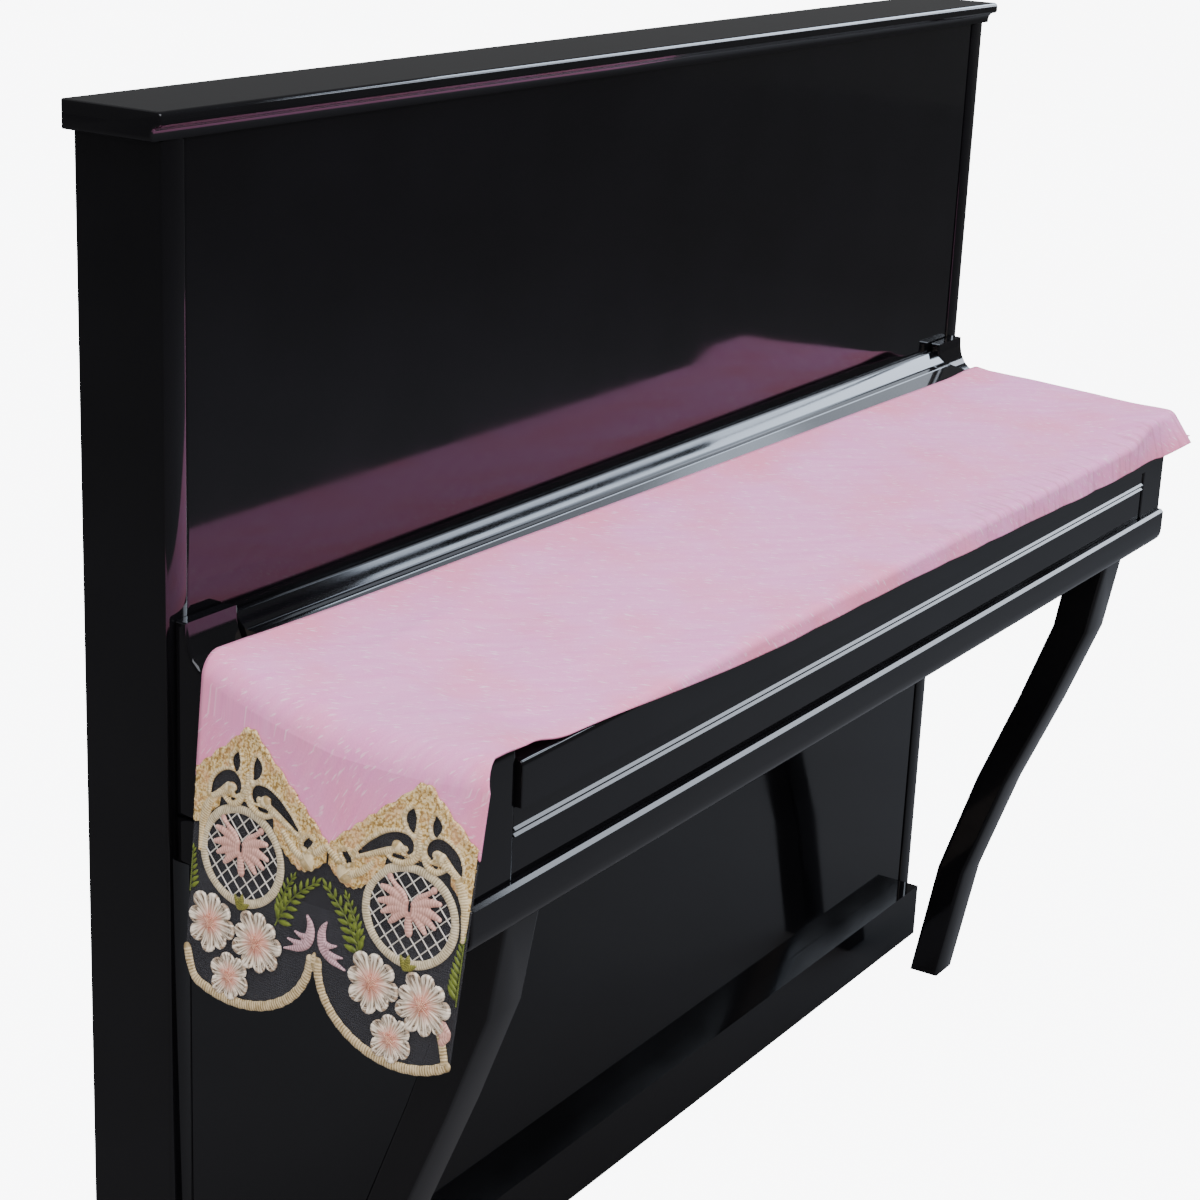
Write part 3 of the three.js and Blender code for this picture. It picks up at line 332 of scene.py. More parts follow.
def suedeCloth():
    look = suedeLook
    material, tree, shader = newMaterial("brushedSuedeCloth")
    eased = dict(interpolation_type="SMOOTHSTEP")
    uv = addNode(tree, "ShaderNodeUVMap", uv_map="drape").outputs["UV"]  # along and across the cloth
    split = addNode(tree, "ShaderNodeSeparateXYZ", {0: uv})
    cloud = addNode(tree, "ShaderNodeTexNoise", {
        "Vector": uv, "Scale": 1 / (look["cloud"] * mm), "Detail": 4.0})
    # the nap is a fraction of a millimetre, drawn coarser so that it shows
    nap = addNode(tree, "ShaderNodeTexNoise", {
        "Vector": uv, "Scale": 1 / (look["nap"] * mm), "Detail": 2.0})
    marks = {}
    for mark, (length, width, turn, detail) in look["marks"].items():
        turned = addNode(tree, "ShaderNodeMapping", {
            "Vector": uv, "Rotation": (0, 0, turn), "Scale": (length * mm, width * mm, 1)},
            vector_type="TEXTURE")
        noise = addNode(tree, "ShaderNodeTexNoise", {
            "Vector": turned.outputs[0], "Scale": 1.0, "Detail": detail})
        marks[mark] = noise.outputs[0]

    streakShare = addNode(tree, "ShaderNodeMapRange", {
        "Value": marks["streak"], "From Min": look["streakFrom"], "From Max": look["streakTo"]})
    tickShare = addNode(tree, "ShaderNodeMapRange", {
        "Value": marks["tick"], "From Min": look["tickFrom"], "From Max": look["tickTo"],
        "To Max": look["tickMost"]})
    # rosier clouds, most of all along the back and front edges
    back = addNode(tree, "ShaderNodeMapRange", {
        "Value": split.outputs["Y"], "From Min": 0.0, "From Max": 2 * look["edge"] * mm,
        "To Min": look["roseBack"], "To Max": 0.0}, **eased)
    front = addNode(tree, "ShaderNodeMapRange", {
        "Value": split.outputs["Y"], "From Min": (cover["width"] - look["edge"]) * mm,
        "From Max": cover["width"] * mm, "To Min": 0.0, "To Max": look["roseFront"]}, **eased)
    rim = addNode(tree, "ShaderNodeMath", {0: back.outputs[0], 1: front.outputs[0]}, operation="ADD")
    patchy = addNode(tree, "ShaderNodeMath", {0: rim.outputs[0], 1: cloud.outputs[0]}, operation="ADD")
    roseShare = addNode(tree, "ShaderNodeMapRange", {
        "Value": patchy.outputs[0], "From Min": look["roseFrom"], "From Max": look["roseTo"],
        "To Max": look["roseMost"]})
    # painted shade of short pinch creases across the front edge, right of the middle: a darker colour only,
    # with no bump of its own
    crimped = addNode(tree, "ShaderNodeMapRange", {
        "Value": marks["pinch"], "From Min": look["pinchFrom"], "From Max": look["pinchTo"]}, **eased)
    nearEdge = addNode(tree, "ShaderNodeMapRange", {
        "Value": split.outputs["Y"], "From Min": (cover["width"] - look["pinchBand"] * look["edge"]) * mm,
        "From Max": (cover["width"] - look["edge"]) * mm}, **eased)
    toRight = addNode(tree, "ShaderNodeMapRange", {
        "Value": split.outputs["X"], "From Min": look["pinchStart"] * mm,
        "From Max": look["pinchFull"] * mm}, **eased)
    pinchZone = addNode(tree, "ShaderNodeMath", {
        0: nearEdge.outputs[0], 1: toRight.outputs[0]}, operation="MULTIPLY")
    pinchShaded = addNode(tree, "ShaderNodeMath", {
        0: pinchZone.outputs[0], 1: crimped.outputs[0]}, operation="MULTIPLY")
    pinchShadeShare = addNode(tree, "ShaderNodeMath", {
        0: pinchShaded.outputs[0], 1: look["pinchShadeMost"]}, operation="MULTIPLY")

    tone = linear(look["lilac"])
    # the last blend darkens the pinch creases with painted shade
    for share, colour in ((streakShare, "pale"), (roseShare, "rose"), (tickShare, "tickTone"),
                          (pinchShadeShare, "pinchShade")):
        blend = addNode(tree, "ShaderNodeMix", {
            0: share.outputs[0], 6: tone, 7: linear(look[colour])}, data_type="RGBA")
        tone = blend.outputs[2]
    fleck = addNode(tree, "ShaderNodeMapRange", {
        "Value": nap.outputs[0], "To Min": look["fleckLow"], "To Max": look["fleckHigh"]})
    shaded = addNode(tree, "ShaderNodeVectorMath", {
        0: tone, "Scale": fleck.outputs[0]}, operation="SCALE")
    height = addNode(tree, "ShaderNodeMath", {
        0: nap.outputs[0], 1: look["napShare"], 2: marks["streak"]}, operation="MULTIPLY_ADD")
    bump = addNode(tree, "ShaderNodeBump", {
        "Height": height.outputs[0], "Strength": look["bump"], "Distance": look["bumpDepth"] * mm})
    setSockets(tree, shader, {
        "Base Color": shaded.outputs[0], "Normal": bump.outputs[0], "Roughness": look["roughness"],
        "Specular IOR Level": look["specular"], "Sheen Weight": look["sheen"],
        "Sheen Roughness": look["sheenRough"], "Sheen Tint": linear(look["bloom"])})
    return material


# Polished polyester lacquer: near black, mirror gloss, faint long waves and wiping marks
lacquerLook = dict(
    black="#060607", grey="#0e0e11", smudge=140, smudgeFrom=0.3, smudgeTo=0.7, gloss=0.045, dull=0.09,
    wave=26, waveBump=0.02, waveDepth=0.5, ior=1.46,
)


def pianoLacquer():
    look = lacquerLook
    material, tree, shader = newMaterial("polishedBlackLacquer")
    place = addNode(tree, "ShaderNodeTexCoord").outputs["Object"]
    smudge = addNode(tree, "ShaderNodeTexNoise", {
        "Vector": place, "Scale": 1 / (look["smudge"] * mm), "Detail": 4.0})
    wave = addNode(tree, "ShaderNodeTexNoise", {
        "Vector": place, "Scale": 1 / (look["wave"] * mm), "Detail": 0.0})
    tone = addNode(tree, "ShaderNodeMix", {
        0: smudge.outputs[0], 6: linear(look["black"]), 7: linear(look["grey"])}, data_type="RGBA")
    gloss = addNode(tree, "ShaderNodeMapRange", {
        "Value": smudge.outputs[0], "From Min": look["smudgeFrom"], "From Max": look["smudgeTo"],
        "To Min": look["gloss"], "To Max": look["dull"]})
    bump = addNode(tree, "ShaderNodeBump", {
        "Height": wave.outputs[0], "Strength": look["waveBump"], "Distance": look["waveDepth"] * mm})
    setSockets(tree, shader, {
        "Base Color": tone.outputs[2], "Roughness": gloss.outputs[0], "Normal": bump.outputs[0],
        "IOR": look["ior"]})
    return material


# Satin-stitched embroidery thread: glossy strands laid side by side across each shape
satinLook = dict(
    pitch=2.2, wander=1.2, wanderScale=1.5, patch=5, strandShare=0.55, shadeTo=0.4, lightFrom=1.05,
    bump=0.6, bumpDepth=0.35, roughness=0.45, sheen=0.1, sheenRough=0.4,
)
waveScale = math.pi / 10  # a wave texture of this scale repeats once a unit


def satinThread(name, light, shade, pitch=satinLook["pitch"]):
    look = satinLook
    material, tree, shader = newMaterial(name)
    uv = addNode(tree, "ShaderNodeUVMap", uv_map="stitch").outputs["UV"]
    # strands are about 0.4 mm apart, drawn coarser so that they show
    strands = addNode(tree, "ShaderNodeTexWave", {
        "Vector": uv, "Scale": waveScale / (pitch * mm), "Distortion": look["wander"], "Detail": 1.0,
        "Detail Scale": look["wanderScale"]}, bands_direction="X")
    place = addNode(tree, "ShaderNodeTexCoord").outputs["Object"]
    patch = addNode(tree, "ShaderNodeTexNoise", {
        "Vector": place, "Scale": 1 / (look["patch"] * mm), "Detail": 2.0})
    both = addNode(tree, "ShaderNodeMath", {
        0: strands.outputs["Fac"], 1: look["strandShare"], 2: patch.outputs[0]}, operation="MULTIPLY_ADD")
    share = addNode(tree, "ShaderNodeMapRange", {
        "Value": both.outputs[0], "From Min": look["shadeTo"], "From Max": look["lightFrom"]})
    tone = addNode(tree, "ShaderNodeMix", {
        0: share.outputs[0], 6: linear(shade), 7: linear(light)}, data_type="RGBA")
    bump = addNode(tree, "ShaderNodeBump", {
        "Height": strands.outputs["Fac"], "Strength": look["bump"], "Distance": look["bumpDepth"] * mm})
    setSockets(tree, shader, {
        "Base Color": tone.outputs[2], "Normal": bump.outputs[0], "Roughness": look["roughness"],
        "Sheen Weight": look["sheen"], "Sheen Roughness": look["sheenRough"]})
    return material


# Bridal tulle: fine hexagonal net, seen mostly as a grey veil
tulleLook = dict(
    thread="#50525a", shade="#3a3c43", cell=2.1, uneven=0.25, threadShare=0.16, veil=0.12, cover=0.5,
    patch=30, roughness=0.7,
)


def tulleNet():
    look = tulleLook
    material, tree, shader = newMaterial("tulleNet")
    uv = addNode(tree, "ShaderNodeUVMap", uv_map="stitch").outputs["UV"]
    cells = addNode(tree, "ShaderNodeTexVoronoi", {
        "Vector": uv, "Scale": 1 / (look["cell"] * mm), "Randomness": look["uneven"]},
        feature="DISTANCE_TO_EDGE")
    mesh = addNode(tree, "ShaderNodeMapRange", {
        "Value": cells.outputs["Distance"], "From Min": look["threadShare"] / 2,
        "From Max": look["threadShare"], "To Min": look["cover"], "To Max": look["veil"]})
    place = addNode(tree, "ShaderNodeTexCoord").outputs["Object"]
    patch = addNode(tree, "ShaderNodeTexNoise", {"Vector": place, "Scale": 1 / (look["patch"] * mm)})
    tone = addNode(tree, "ShaderNodeMix", {
        0: patch.outputs[0], 6: linear(look["shade"]), 7: linear(look["thread"])}, data_type="RGBA")
    setSockets(tree, shader, {
        "Base Color": tone.outputs[2], "Alpha": mesh.outputs[0], "Roughness": look["roughness"]})
    return material


# Organza petals: cream silk stitches fanning out from a peach eye, sheer between them near the rim
petalLook = dict(
    light="#efe6d6", shade="#a8937d", peach="#df9484",
    stitches=60, stitchRun=1.5, strandFrom=0.38, strandTo=0.6, patch=9, patchShare=0.55,
    eyeFrom=0.35, eyeTo=1.0, eyeMost=0.8, sheerFrom=0.5, sheerTo=0.8, hem=0.93, sheer=0.18,
    bump=0.7, bumpDepth=0.8, roughness=0.5, sheen=0.2, sheenRough=0.4,
)


def organzaPetal():
    look = petalLook
    material, tree, shader = newMaterial("organzaPetal")
    eased = dict(interpolation_type="SMOOTHSTEP")
    uv = addNode(tree, "ShaderNodeUVMap", uv_map="stitch").outputs["UV"]
    split = addNode(tree, "ShaderNodeSeparateXYZ", {0: uv})
    outward = split.outputs["Y"]  # U runs round the flower
    fan = addNode(tree, "ShaderNodeMapping", {
        "Vector": uv, "Scale": (look["stitches"], look["stitchRun"], 1)})
    stitches = addNode(tree, "ShaderNodeTexNoise", {
        "Vector": fan.outputs[0], "Scale": 1.0, "Detail": 1.0})
    strand = addNode(tree, "ShaderNodeMapRange", {
        "Value": stitches.outputs[0], "From Min": look["strandFrom"], "From Max": look["strandTo"]}, **eased)
    cream = addNode(tree, "ShaderNodeMix", {
        0: strand.outputs[0], 6: linear(look["shade"]), 7: linear(look["light"])}, data_type="RGBA")
    place = addNode(tree, "ShaderNodeTexCoord").outputs["Object"]
    patch = addNode(tree, "ShaderNodeTexNoise", {
        "Vector": place, "Scale": 1 / (look["patch"] * mm), "Detail": 2.0})
    reach = addNode(tree, "ShaderNodeMath", {
        0: patch.outputs[0], 1: look["patchShare"], 2: outward}, operation="MULTIPLY_ADD")
    eye = addNode(tree, "ShaderNodeMapRange", {
        "Value": reach.outputs[0], "From Min": look["eyeFrom"], "From Max": look["eyeTo"],
        "To Min": look["eyeMost"], "To Max": 0.0}, **eased)
    tone = addNode(tree, "ShaderNodeMix", {
        0: eye.outputs[0], 6: cream.outputs[2], 7: linear(look["peach"])}, data_type="RGBA")
    # sheer between the stitches, up to a solid hem
    rim = addNode(tree, "ShaderNodeMapRange", {
        "Value": outward, "From Min": look["sheerFrom"], "From Max": look["sheerTo"]}, **eased)
    hem = addNode(tree, "ShaderNodeMath", {0: outward, 1: look["hem"]}, operation="LESS_THAN")
    opening = addNode(tree, "ShaderNodeMath", {
        0: rim.outputs[0], 1: hem.outputs[0]}, operation="MULTIPLY")
    gap = addNode(tree, "ShaderNodeMath", {
        0: strand.outputs[0], 1: 1 - look["sheer"], 2: look["sheer"]}, operation="MULTIPLY_ADD")
    veil = addNode(tree, "ShaderNodeMix", {
        0: opening.outputs[0], 2: 1.0, 3: gap.outputs[0]}, data_type="FLOAT")
    bump = addNode(tree, "ShaderNodeBump", {
        "Height": stitches.outputs[0], "Strength": look["bump"], "Distance": look["bumpDepth"] * mm})
    setSockets(tree, shader, {
        "Base Color": tone.outputs[2], "Normal": bump.outputs[0], "Alpha": veil.outputs[0],
        "Roughness": look["roughness"], "Sheen Weight": look["sheen"], "Sheen Roughness": look["sheenRough"]})
    return material


# Metallic-cream knotted stitches: small grains of cream and dull gold, each catching the light, with dark
# grains of painted shadow among them
goldLook = dict(
    tones=[(0.36, "#8f7442"), (0.45, "#bb9a58"), (0.58, "#dfcb9c")],  # painted shadow, gold and cream grains
    blush="#dcaa86", grain=2.4, wide=18, blushFrom=0.5, blushTo=0.75, blushMost=0.55,
    bump=0.6, bumpDepth=0.5, roughness=0.5,
)


def goldKnotThread():
    look = goldLook
    material, tree, shader = newMaterial("goldCreamThread")
    place = addNode(tree, "ShaderNodeTexCoord").outputs["Object"]
    grain = addNode(tree, "ShaderNodeTexNoise", {
        "Vector": place, "Scale": 1 / (look["grain"] * mm), "Detail": 2.0})
    wide = addNode(tree, "ShaderNodeTexNoise", {
        "Vector": place, "Scale": 1 / (look["wide"] * mm), "Detail": 2.0})
    # the lowest stop of this ramp is painted shadow between the grains
    tones = addNode(tree, "ShaderNodeValToRGB", {0: grain.outputs[0]})
    stops = tones.color_ramp.elements
    stops.remove(stops[1])
    stops[0].position = look["tones"][0][0]
    stops[0].color = linear(look["tones"][0][1])
    for position, colour in look["tones"][1:]:
        stops.new(position).color = linear(colour)
    blush = addNode(tree, "ShaderNodeMapRange", {
        "Value": wide.outputs[0], "From Min": look["blushFrom"], "From Max": look["blushTo"],
        "To Max": look["blushMost"]})
    tone = addNode(tree, "ShaderNodeMix", {
        0: blush.outputs[0], 6: tones.outputs[0], 7: linear(look["blush"])}, data_type="RGBA")
    bump = addNode(tree, "ShaderNodeBump", {
        "Height": grain.outputs[0], "Strength": look["bump"], "Distance": look["bumpDepth"] * mm})
    setSockets(tree, shader, {
        "Base Color": tone.outputs[2], "Normal": bump.outputs[0], "Roughness": look["roughness"]})
    return material


suede = suedeCloth()
lacquer = pianoLacquer()
tulle = tulleNet()
petalSilk = organzaPetal()
goldThread = goldKnotThread()
creamSatin = satinThread("creamSatinThread", "#e6d7b0", "#a89163")
paleSatin = satinThread("paleSatinThread", "#dfd4b8", "#9a8d6e")
bandSatin = satinThread("bandSatinThread", "#dbc9a2", "#8c7850", pitch=2.6)
pinkSatin = satinThread("pinkSatinThread", "#e2b4a8", "#b98a80", pitch=2.4)
lilacSatin = satinThread("lilacPinkThread", "#d9b3be", "#94727a", pitch=2.4)
greenSatin = satinThread("oliveGreenThread", "#6c7c2a", "#3a4716", pitch=1.6)
budSatin = satinThread("mossGreenThread", "#8b8a3e", "#55571f", pitch=1.8)
stamenThread = satinThread("peachThread", "#e6b79f", "#b8705c")
netThread = satinThread("trellisThread", "#dedcd6", "#b5b2aa")
print("materials made")


# Cover cloth
clothMesh = dict(columns=92, denseFrom=0.88, topRows=330, bendRows=16, turnRows=12, hangRows=30)


def endRows(end, f):
    v = f * cover["width"]
    radius = end["bendRadius"] + end["bendSwell"] * (1 - (2 * f - 1) ** 2)
    start = topPoint(end["side"] * (end["hangX"] + end["turnOut"] * f - radius), f)
    centreZ = start[:, 2] - radius
    s0 = (end["hangZ"] - centreZ - radius * math.sin(end["lean"])) / math.cos(end["lean"])
    low = lacePoint(end, v, s0, 0)
    centreX = np.abs(low[:, 0]) - radius * math.cos(end["lean"])
    share = np.linspace(0, 1, clothMesh["bendRows"], endpoint=False)[:, None]
    angle = share * (math.pi / 2 - end["lean"])
    bend = np.stack(np.broadcast_arrays(
        end["side"] * (centreX + radius * np.sin(angle)), mixed(start[:, 1], low[:, 1], share),
        centreZ + radius * np.cos(angle)), -1)
    turn = np.linspace(0, 1, clothMesh["turnRows"], endpoint=False)[:, None]
    hang = np.linspace(0, 1, clothMesh["hangRows"])[:, None]
    edge = scrollContour(v) + lace["scrollTuck"]
    s = np.concatenate([mixed(s0, lace["plainFrom"], turn), mixed(lace["plainFrom"], edge, hang)])
    return np.concatenate([bend, lacePoint(end, v + 0 * s, s, 0)])


def buildCover():
    dense = clothMesh["columns"] // 3
    f = np.concatenate([np.linspace(0, clothMesh["denseFrom"], clothMesh["columns"] - dense, endpoint=False),
                        np.linspace(clothMesh["denseFrom"], 1, dense)])
    left, right = endRows(leftEnd, f), endRows(rightEnd, f)
    t = np.linspace(0, 1, clothMesh["topRows"] + 2)[1:-1, None]
    top = topPoint(mixed(left[0, :, 0], right[0, :, 0], t), f + 0 * t)
    inner = np.concatenate([left[::-1], top, right])
    outer = inner + gridNormals(inner) * cover["thickness"]
    middle = inner[:, len(f) // 2]
    along = np.concatenate([[0], np.cumsum(np.linalg.norm(np.diff(middle, axis=0), axis=1))])
    uv = np.stack(np.broadcast_arrays(along[:, None], f * cover["width"]), -1).reshape(-1, 2) * mm
    points, faces = shellGrid(inner, outer)
    mesh = meshFrom("cover_cloth_draped", points, faces, np.concatenate([uv, uv]), "drape")
    piece = pieceFrom("cover_cloth_draped", mesh, [suede], ["cover_cloth"])
    print("cover cloth:", len(faces) * 2, "triangles, length", round(along[-1]), "mm")
    return piece


coverPiece = buildCover()


# Embroidery: strokes with a half width at each point, raised into stitched reliefs
def bent(points, steps=5, leastHalf=0.3):  # smooth path through (v, s, half width) rows
    p = np.array(points, float)
    q = np.vstack([2 * p[0] - p[1], p, 2 * p[-1] - p[-2]])
    t = np.linspace(0, 1, steps, endpoint=False)[:, None]
    out = []
    for a, b, c, d in zip(q[:-3], q[1:-2], q[2:-1], q[3:]):
        square = 2 * a - 5 * b + 4 * c - d
        cube = 3 * b - a - 3 * c + d
        out.append(0.5 * (2 * b + (c - a) * t + square * t ** 2 + cube * t ** 3))
    path = np.vstack(out + [p[-1:]])
    path[:, 2] = np.maximum(path[:, 2], leastHalf)
    return path


def strokeField(p, strokes):  # how far inside the strokes each point lies, and its place along them
    best = np.full(len(p), -1e3)
    uv = np.zeros((len(p), 2))
    wide = np.ones(len(p))
    for stroke in strokes:
        start = 0.0
        for a, b in zip(stroke[:-1], stroke[1:]):
            step = b[:2] - a[:2]
            length = max(math.hypot(*step), 1e-6)
            t = np.clip(((p - a[:2]) @ step) / length ** 2, 0, 1)
            off = p - a[:2] - t[:, None] * step
            width = mixed(a[2], b[2], t)
            inside = width - np.hypot(off[:, 0], off[:, 1])
            better = inside > best
            best = np.where(better, inside, best)
            wide = np.where(better, width, wide)
            side = (step[0] * off[:, 1] - step[1] * off[:, 0]) / length
            uv[better] = np.stack([start + t * length, side], -1)[better]
            start += length
    return best, uv, wide


def pillow(inside, wide, rim, full):  # rounded section of a satin-stitched stroke
    q = np.clip(inside / wide, 0, 1)
    return rim + (full - rim) * np.sqrt(1 - (1 - q) ** 2)


def relief(shape, low, high, pitch):  # closed raised mesh in flat lace sizes: rows of v, s, off
    v = np.arange(low[0], high[0] + pitch, pitch)
    s = np.arange(low[1], high[1] + pitch, pitch)
    gv, gs = np.meshgrid(v, s, indexing="ij")
    flat = np.stack([gv.ravel(), gs.ravel()], -1)
    inside = shape(flat)[0].reshape(gv.shape)
    dv, ds = np.gradient(inside, pitch)
    steep = np.hypot(dv, ds) + 1e-6
    positive = inside > 0
    cell = positive[:-1, :-1] | positive[1:, :-1] | positive[1:, 1:] | positive[:-1, 1:]
    used = np.zeros(gv.shape, bool)
    for i, j in ((0, 0), (1, 0), (1, 1), (0, 1)):
        used[i:i + cell.shape[0], j:j + cell.shape[1]] |= cell
    move = np.where(used & ~positive, np.clip(-inside / steep, 0, 1.3 * pitch), 0) / steep  # onto the outline
    flat = np.stack([(gv + dv * move).ravel(), (gs + ds * move).ravel()], -1)
    inside, height, uv, kind = shape(flat)
    index = np.full(gv.shape, -1)
    index[used] = np.arange(used.sum())
    kept = used.ravel()
    flat, height, uv, kind = flat[kept], height[kept], uv[kept], kind[kept]
    count = len(flat)
    ci, cj = np.nonzero(cell)
    a, b, c, d = index[ci, cj], index[ci + 1, cj], index[ci + 1, cj + 1], index[ci, cj + 1]
    top = np.stack([a, b, c, d], -1) + count
    bottom = np.stack([d, c, b, a], -1)
    padded = np.pad(cell, 1)
    walls = []
    for (di, dj), (p, q) in zip(((0, -1), (1, 0), (0, 1), (-1, 0)), ((a, b), (b, c), (c, d), (d, a))):
        bare = ~padded[ci + 1 + di, cj + 1 + dj]
        walls.append(np.stack([p[bare], q[bare], q[bare] + count, p[bare] + count], -1))
    points = np.concatenate([np.column_stack([flat, np.zeros(count)]), np.column_stack([flat, height])])
    faces = np.concatenate([top, bottom] + walls)
    faceKind = np.concatenate([(kind[top - count].mean(1) > 0.5), np.zeros(len(faces) - len(top), bool)])
    return dict(points=points, faces=faces, uv=np.concatenate([uv, uv]) * mm, kind=faceKind, tops=len(top))


def shifted(flat, by):  # the same relief on another repeat
    return dict(flat, points=flat["points"] + np.array([by, 0, 0]))


def laid(name, end, flat, base, materials, replaced):  # puts a flat relief on an end of the cover
    p = flat["points"]
    points = lacePoint(end, p[:, 0], p[:, 1], p[:, 2] + base)
    faces = flat["faces"] if end["side"] > 0 else flat["faces"][:, ::-1]
    mesh = meshFrom(name, points, faces, flat["uv"])
    mesh.polygons.foreach_set("material_index", flat["kind"].astype(int))
    return pieceFrom(name, mesh, materials, replaced)


def strokeRelief(strokes, full, pitch, rim=0.25):  # satin stitch over strokes, from rim to full height
    def shape(p):
        inside, uv, wide = strokeField(p, strokes)
        return inside, pillow(inside, wide, rim, full), uv, np.zeros(len(p))

    every = np.vstack(strokes)
    low = (every[:, :2] - every[:, 2:3]).min(0) - pitch
    high = (every[:, :2] + every[:, 2:3]).max(0) + pitch
    return relief(shape, low, high, pitch)


# Geometry node trees
socketKinds = {
    float: "NodeSocketFloat", int: "NodeSocketInt",
    bpy.types.Object: "NodeSocketObject", bpy.types.Material: "NodeSocketMaterial",
}


def newTree(name, sockets):  # a named input for each starting value or kind of data
    tree = bpy.data.node_groups.new(name, "GeometryNodeTree")
    tree.interface.new_socket("Geometry", in_out="INPUT", socket_type="NodeSocketGeometry")
    for key, value in sockets.items():
        kind = value if isinstance(value, type) else type(value)
        socket = tree.interface.new_socket(key, in_out="INPUT", socket_type=socketKinds[kind])
        if kind is not value:
            socket.default_value = value
    tree.interface.new_socket("Geometry", in_out="OUTPUT", socket_type="NodeSocketGeometry")
    return tree, addNode(tree, "NodeGroupInput"), addNode(tree, "NodeGroupOutput")


def finishTree(tree, geometry, thread, out):  # real geometry, all in one thread
    real = addNode(tree, "GeometryNodeRealizeInstances", {0: geometry})
    dyed = addNode(tree, "GeometryNodeSetMaterial", {"Geometry": real.outputs[0], "Material": thread})
    tree.links.new(dyed.outputs[0], out.inputs[0])


def grown(name, mesh, tree, values):  # plain mesh that a tree makes from a mesh
    source = bpy.data.objects.new(name + "_source", mesh)
    bpy.context.scene.collection.objects.link(source)
    modifier = source.modifiers.new("grow", "NODES")
    modifier.node_group = tree
    for item in tree.interface.items_tree:
        if item.in_out == "INPUT" and item.name in values:
            modifier[item.identifier] = values[item.name]
    graph = bpy.context.evaluated_depsgraph_get()
    result = bpy.data.meshes.new_from_object(source.evaluated_get(graph))
    result.name = name
    source.modifiers.remove(modifier)
    bpy.data.objects.remove(source)
    return result


# thread tubes along the edges of a mesh
threadTree, threadIn, threadOut = newTree("threadTubes", {
    "Radius": 0.6 * mm, "Sides": 6, "Thread": bpy.types.Material})
threadPath = addNode(threadTree, "GeometryNodeMeshToCurve", {"Mesh": threadIn.outputs["Geometry"]})
threadRound = addNode(threadTree, "GeometryNodeCurvePrimitiveCircle", {
    "Resolution": threadIn.outputs["Sides"], "Radius": threadIn.outputs["Radius"]})
threadTube = addNode(threadTree, "GeometryNodeCurveToMesh", {
    "Curve": threadPath.outputs[0], "Profile Curve": threadRound.outputs[0], "Fill Caps": True})
finishTree(threadTree, threadTube.outputs[0], threadIn.outputs["Thread"], threadOut)

# a shape set on every point, turned by the point's own heading and facing
sprigTree, sprigIn, sprigOut = newTree("sprigLeaves", {
    "Leaf": bpy.types.Object, "Thread": bpy.types.Material})
heading, facing, leafSize = (
    addNode(sprigTree, "GeometryNodeInputNamedAttribute", {"Name": name}, data_type=kind)
    for name, kind in (("heading", "FLOAT_VECTOR"), ("facing", "FLOAT_VECTOR"), ("leafSize", "FLOAT")))
turnOne = addNode(sprigTree, "FunctionNodeAlignRotationToVector", {"Vector": facing.outputs[0]}, axis="Z")
turnTwo = addNode(sprigTree, "FunctionNodeAlignRotationToVector", {
    "Rotation": turnOne.outputs[0], "Vector": heading.outputs[0]}, axis="X", pivot_axis="Z")
leafInfo = addNode(sprigTree, "GeometryNodeObjectInfo", {"Object": sprigIn.outputs["Leaf"]})
sprigPoints = addNode(sprigTree, "GeometryNodeInstanceOnPoints", {
    "Points": sprigIn.outputs["Geometry"], "Instance": leafInfo.outputs["Geometry"],
    "Rotation": turnTwo.outputs[0], "Scale": leafSize.outputs[0]})
finishTree(sprigTree, sprigPoints.outputs[0], sprigIn.outputs["Thread"], sprigOut)

# knotted stitches strewn over a surface
knotTree, knotIn, knotOut = newTree("knotStitches", {
    "Knot": bpy.types.Object, "Density": 220000.0, "Small": 0.7, "Large": 1.25, "Seed": 7,
    "Thread": bpy.types.Material})
knotSpots = addNode(knotTree, "GeometryNodeDistributePointsOnFaces", {
    "Mesh": knotIn.outputs["Geometry"], "Density": knotIn.outputs["Density"],
    "Seed": knotIn.outputs["Seed"]}, distribute_method="RANDOM")
knotSpin = addNode(knotTree, "FunctionNodeRandomValue", {
    2: 0.0, 3: 2 * math.pi, "Seed": knotIn.outputs["Seed"]}, data_type="FLOAT")
knotAngle = addNode(knotTree, "ShaderNodeCombineXYZ", {"Z": knotSpin.outputs[1]})
knotTurn = addNode(knotTree, "FunctionNodeRotateRotation", {
    "Rotation": knotSpots.outputs["Rotation"], "Rotate By": knotAngle.outputs[0]}, rotation_space="LOCAL")
knotScale = addNode(knotTree, "FunctionNodeRandomValue", {
    2: knotIn.outputs["Small"], 3: knotIn.outputs["Large"], "Seed": knotIn.outputs["Seed"]},
    data_type="FLOAT")
knotInfo = addNode(knotTree, "GeometryNodeObjectInfo", {"Object": knotIn.outputs["Knot"]})
knotPlaced = addNode(knotTree, "GeometryNodeInstanceOnPoints", {
    "Points": knotSpots.outputs["Points"], "Instance": knotInfo.outputs["Geometry"],
    "Rotation": knotTurn.outputs[0], "Scale": knotScale.outputs[1]})
finishTree(knotTree, knotPlaced.outputs[0], knotIn.outputs["Thread"], knotOut)


